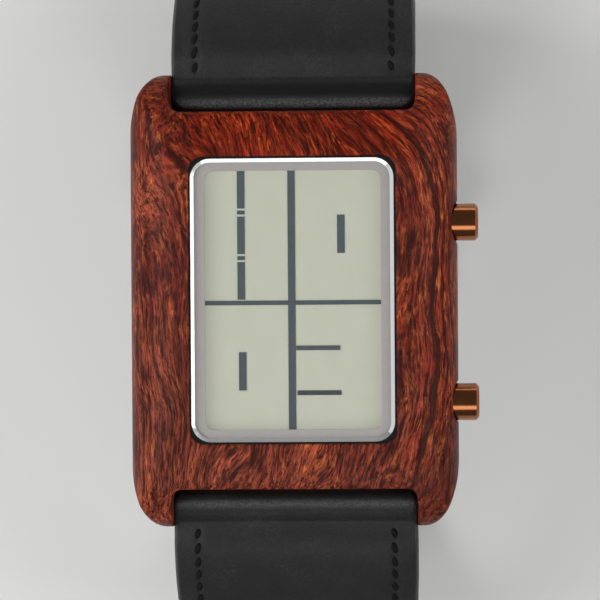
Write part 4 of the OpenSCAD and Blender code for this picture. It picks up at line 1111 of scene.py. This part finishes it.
class LCDWATCH_OT_straps(bpy.types.Operator):
    """Loft both strap halves with their folds, holes and stitching"""
    bl_idname = "lcdwatch.straps"
    bl_label = "Straps"

    def execute(self, context):
        sizes = settings()[0]
        route = Route(sizes)
        buckle_end, tip_from = route.top_len, route.tail_len - TIP_RUN

        def half_width(at, s):
            half = route.half_width(at(s, 0.0)[1]) + bulge(s)
            into = s + route.fold
            if into >= FOLD_CORNER:
                return half
            return half - FOLD_CORNER + math.sqrt(max(FOLD_CORNER ** 2 - (FOLD_CORNER - into) ** 2, 0.0))

        def top_width(s):
            return half_width(route.top, s)

        def low_width(s):
            left = route.tail_len - s
            if left >= TIP_RUN:
                return half_width(route.bottom, s)
            return half_width(route.bottom, s) * math.sqrt(max(1 - (1 - left / TIP_RUN) ** 2, 0.0))

        fold = route.fold
        near = [-fold + FOLD_CLOSE] + [-fold * math.cos(a) for a in turns(FOLD_TURNS)] + START_STEPS
        top_steps = near + spread(LONG_FROM, buckle_end - LONG_TO_BUCKLE, LONG_STEP)
        top_steps += spread(buckle_end - BUCKLE_FROM, buckle_end, BUCKLE_STEP)
        top_steps += [buckle_end + fold * math.sin(a) for a in turns(FOLD_TURNS)]
        top_steps.append(buckle_end + fold - FOLD_CLOSE)
        low_steps = near + spread(LONG_FROM, tip_from, LONG_STEP)
        low_steps += [route.tail_len - TIP_RUN * (1 - math.sin(a)) for a in turns(TIP_TURNS)]
        low_steps.append(route.tail_len - TIP_CLOSE)

        top = StrapHalf(route, route.top, top_steps, top_width, True)
        low = StrapHalf(route, route.bottom, low_steps, low_width, False)
        top_piece = top.build("upper_strap", STRAP_FINISHES)
        low_piece = low.build("lower_strap", STRAP_FINISHES)

        def tail_place(v):
            """The place along the lower half that lies at a distance v from the buckle bar."""
            return route.lead + route.low_arc + route.back - (v + route.at)

        shift, *slot = FOLD_SLOT
        cut_holes(top_piece, route.top, [(buckle_end + shift, *slot)], STRAP_FINISHES)
        pitch, radius = sizes.hole_pitch / MM, sizes.hole / MM / 2
        holes = [(tail_place(route.cross + i * pitch), 0.0, radius) for i in HOLES]
        shift, *slot = TONGUE_SLOT
        holes.append((tail_place(route.cross) + shift, *slot))
        cut_holes(low_piece, route.bottom, holes, STRAP_FINISHES)

        inset = sizes.stitch_inset / MM
        top_path = spread(STITCHES_FROM, buckle_end - STITCHES_TO_BUCKLE, ROW_STEP)
        straight = spread(STITCHES_FROM, tip_from, ROW_STEP)
        reach = low_width(tip_from) - inset
        top_rows, low_rows = [], []
        for side in (-1, 1):
            top_rows.append([(s, side * (top_width(s) - inset)) for s in top_path])
            low_rows.append([(s, side * (low_width(s) - inset)) for s in straight]
                            + [(tip_from + (TIP_RUN - inset) * math.sin(a), side * reach * math.cos(a))
                               for a in turns(ROW_TURNS, left_out=3)])
        pitch, thread = sizes.stitch_pitch / MM, sizes.thread / MM
        top_thread = stitch_mesh("upper_strap_stitches", top, top_rows, pitch, thread)
        low_thread = stitch_mesh("lower_strap_stitches", low, low_rows, pitch, thread)

        for piece, body in ((top_piece, "top_strap"), (low_piece, "bottom_strap")):
            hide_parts(body + "_leather", body + "_lining", body + "_padding")
        for piece, body in ((top_piece, "top_strap"), (top_thread, "top_strap"),
                            (low_piece, "bottom_strap"), (low_thread, "bottom_strap")):
            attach(piece, body)
        return {"FINISHED"}


# Keepers, in millimetres: body, distance from the buckle bar, room beside the strap, and wrist side
KEEPERS = {"fixed_keeper": ("top_strap", 9.5, 0.5, -1.35), "free_keeper": ("free_keeper", 17.0, 0.6, -1.55)}
KEEPER_ROOM, KEEPER_LENGTH, KEEPER_THICK = 0.45, 5.0, 1.0


class LCDWATCH_OT_keepers(bpy.types.Operator):
    """Make the two leather keepers"""
    bl_idname = "lcdwatch.keepers"
    bl_label = "Keepers"

    def execute(self, context):
        route = Route(settings()[0])
        high = route.lift + route.skin + KEEPER_ROOM
        for name, (body, distance, room, low) in KEEPERS.items():
            middle = local_frame(route.top, route.top_len - distance)
            piece = keeper_mesh(name + "_band", middle, 2 * route.slim + room, low, high,
                                KEEPER_LENGTH, KEEPER_THICK)
            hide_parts(name)
            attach(piece, body)
        return {"FINISHED"}


FLOOR_REACH = 3.0
CAMERA_TARGET = Vector((0.0008, 0.0, 0.009))
SENSOR_WIDTH = 36.0
LAMP_TARGET = Vector((0.0, 0.0, 0.0))
# Place, width and height, and power of each lamp
LAMPS = {
    "left_strip": ((-0.50, 0.02, 0.03), (0.9, 0.13), 0.6),
    "right_strip": ((0.50, 0.02, 0.03), (0.9, 0.13), 0.22),
    "top_strip": ((0.02, 0.50, 0.03), (0.9, 0.13), 0.6),
    "front_softbox": ((0.0, -0.37, 0.50), (0.5, 0.25), 1.05),
    "left_softbox": ((-0.36, 0.02, 0.46), (0.34, 0.40), 1.85),
    "right_softbox": ((0.38, -0.04, 0.46), (0.30, 0.40), 1.1),
}
WORLD_LIGHT = 0.15


class LCDWATCH_OT_stage(bpy.types.Operator):
    """Set up the pale floor, soft lamps and the camera"""
    bl_idname = "lcdwatch.stage"
    bl_label = "Stage"

    def execute(self, context):
        looks = settings()[2]
        low, reach = min(CAD_BOX[0][2], CAD_BOX[1][2]), FLOOR_REACH
        mesh = bpy.data.meshes.new("floor")
        mesh.from_pydata([(-reach, -reach, low), (reach, -reach, low), (reach, reach, low), (-reach, reach, low)],
                         [], [(0, 1, 2, 3)])
        floor = link("floor", mesh)
        mesh.materials.append(dressed("pale_floor", "Fine Mottle", 0.02, 0.0001, Base=looks.floor,
                                      Shade=looks.floor, Size=0.2, Roughness=0.8, Amount=0.3))

        lens = bpy.data.cameras.new("camera")
        lens.sensor_width = SENSOR_WIDTH
        lens.lens = SENSOR_WIDTH * looks.distance / looks.view_width
        camera = link("camera", lens)
        way = Vector((math.sin(looks.lean), 0.0, math.cos(looks.lean)))
        side = Vector((0.0, 1.0, 0.0)).cross(way).normalized()
        up = way.cross(side).normalized()
        basis = Matrix((side, up, way)).transposed().to_4x4()
        camera.matrix_world = (Matrix.Translation(CAMERA_TARGET + way * looks.distance) @ basis
                               @ Matrix.Rotation(-looks.roll, 4, "Z"))
        context.scene.camera = camera

        for name, (place, size, power) in LAMPS.items():
            light = bpy.data.lights.new(name, "AREA")
            light.shape = "RECTANGLE"
            light.size, light.size_y = size
            light.energy = power
            lamp = link(name, light)
            lamp.location = place
            lamp.rotation_euler = (LAMP_TARGET - Vector(place)).to_track_quat("-Z", "Y").to_euler()
        world = context.scene.world or bpy.data.worlds.new("world")
        context.scene.world = world
        world.use_nodes = True
        background = world.node_tree.nodes["Background"]
        background.inputs["Color"].default_value = (1.0, 1.0, 1.0, 1.0)
        background.inputs["Strength"].default_value = WORLD_LIGHT
        context.scene.view_settings.view_transform = "Standard"
        return {"FINISHED"}


class LCDWATCH_PT_panel(bpy.types.Panel):
    """Sizes, colours and the steps, in the sidebar"""
    bl_idname = "LCDWATCH_PT_panel"
    bl_label = "LCD Watch"
    bl_space_type = "VIEW_3D"
    bl_region_type = "UI"
    bl_category = "LCD Watch"

    def draw(self, context):
        for group in settings():
            box = self.layout.box()
            for name in group.__annotations__:
                box.prop(group, name)
        for operator in OPERATORS:
            self.layout.operator(operator.bl_idname)


GROUPS = (StrapSizes, CaseLooks, StageLooks)
OPERATORS = (LCDWATCH_OT_finishes, LCDWATCH_OT_case, LCDWATCH_OT_straps, LCDWATCH_OT_keepers, LCDWATCH_OT_stage)


def register():
    for item in (*GROUPS, *OPERATORS, LCDWATCH_PT_panel):
        bpy.utils.register_class(item)
    bpy.types.Scene.lcd_strap = PointerProperty(type=StrapSizes)
    bpy.types.Scene.lcd_case = PointerProperty(type=CaseLooks)
    bpy.types.Scene.lcd_stage = PointerProperty(type=StageLooks)


def unregister():
    del bpy.types.Scene.lcd_stage
    del bpy.types.Scene.lcd_case
    del bpy.types.Scene.lcd_strap
    for item in reversed((*GROUPS, *OPERATORS, LCDWATCH_PT_panel)):
        bpy.utils.unregister_class(item)


def main():
    register()
    bpy.ops.lcdwatch.finishes()
    bpy.ops.lcdwatch.case()
    bpy.ops.lcdwatch.straps()
    bpy.ops.lcdwatch.keepers()
    bpy.ops.lcdwatch.stage()


if __name__ == "__main__":
    main()
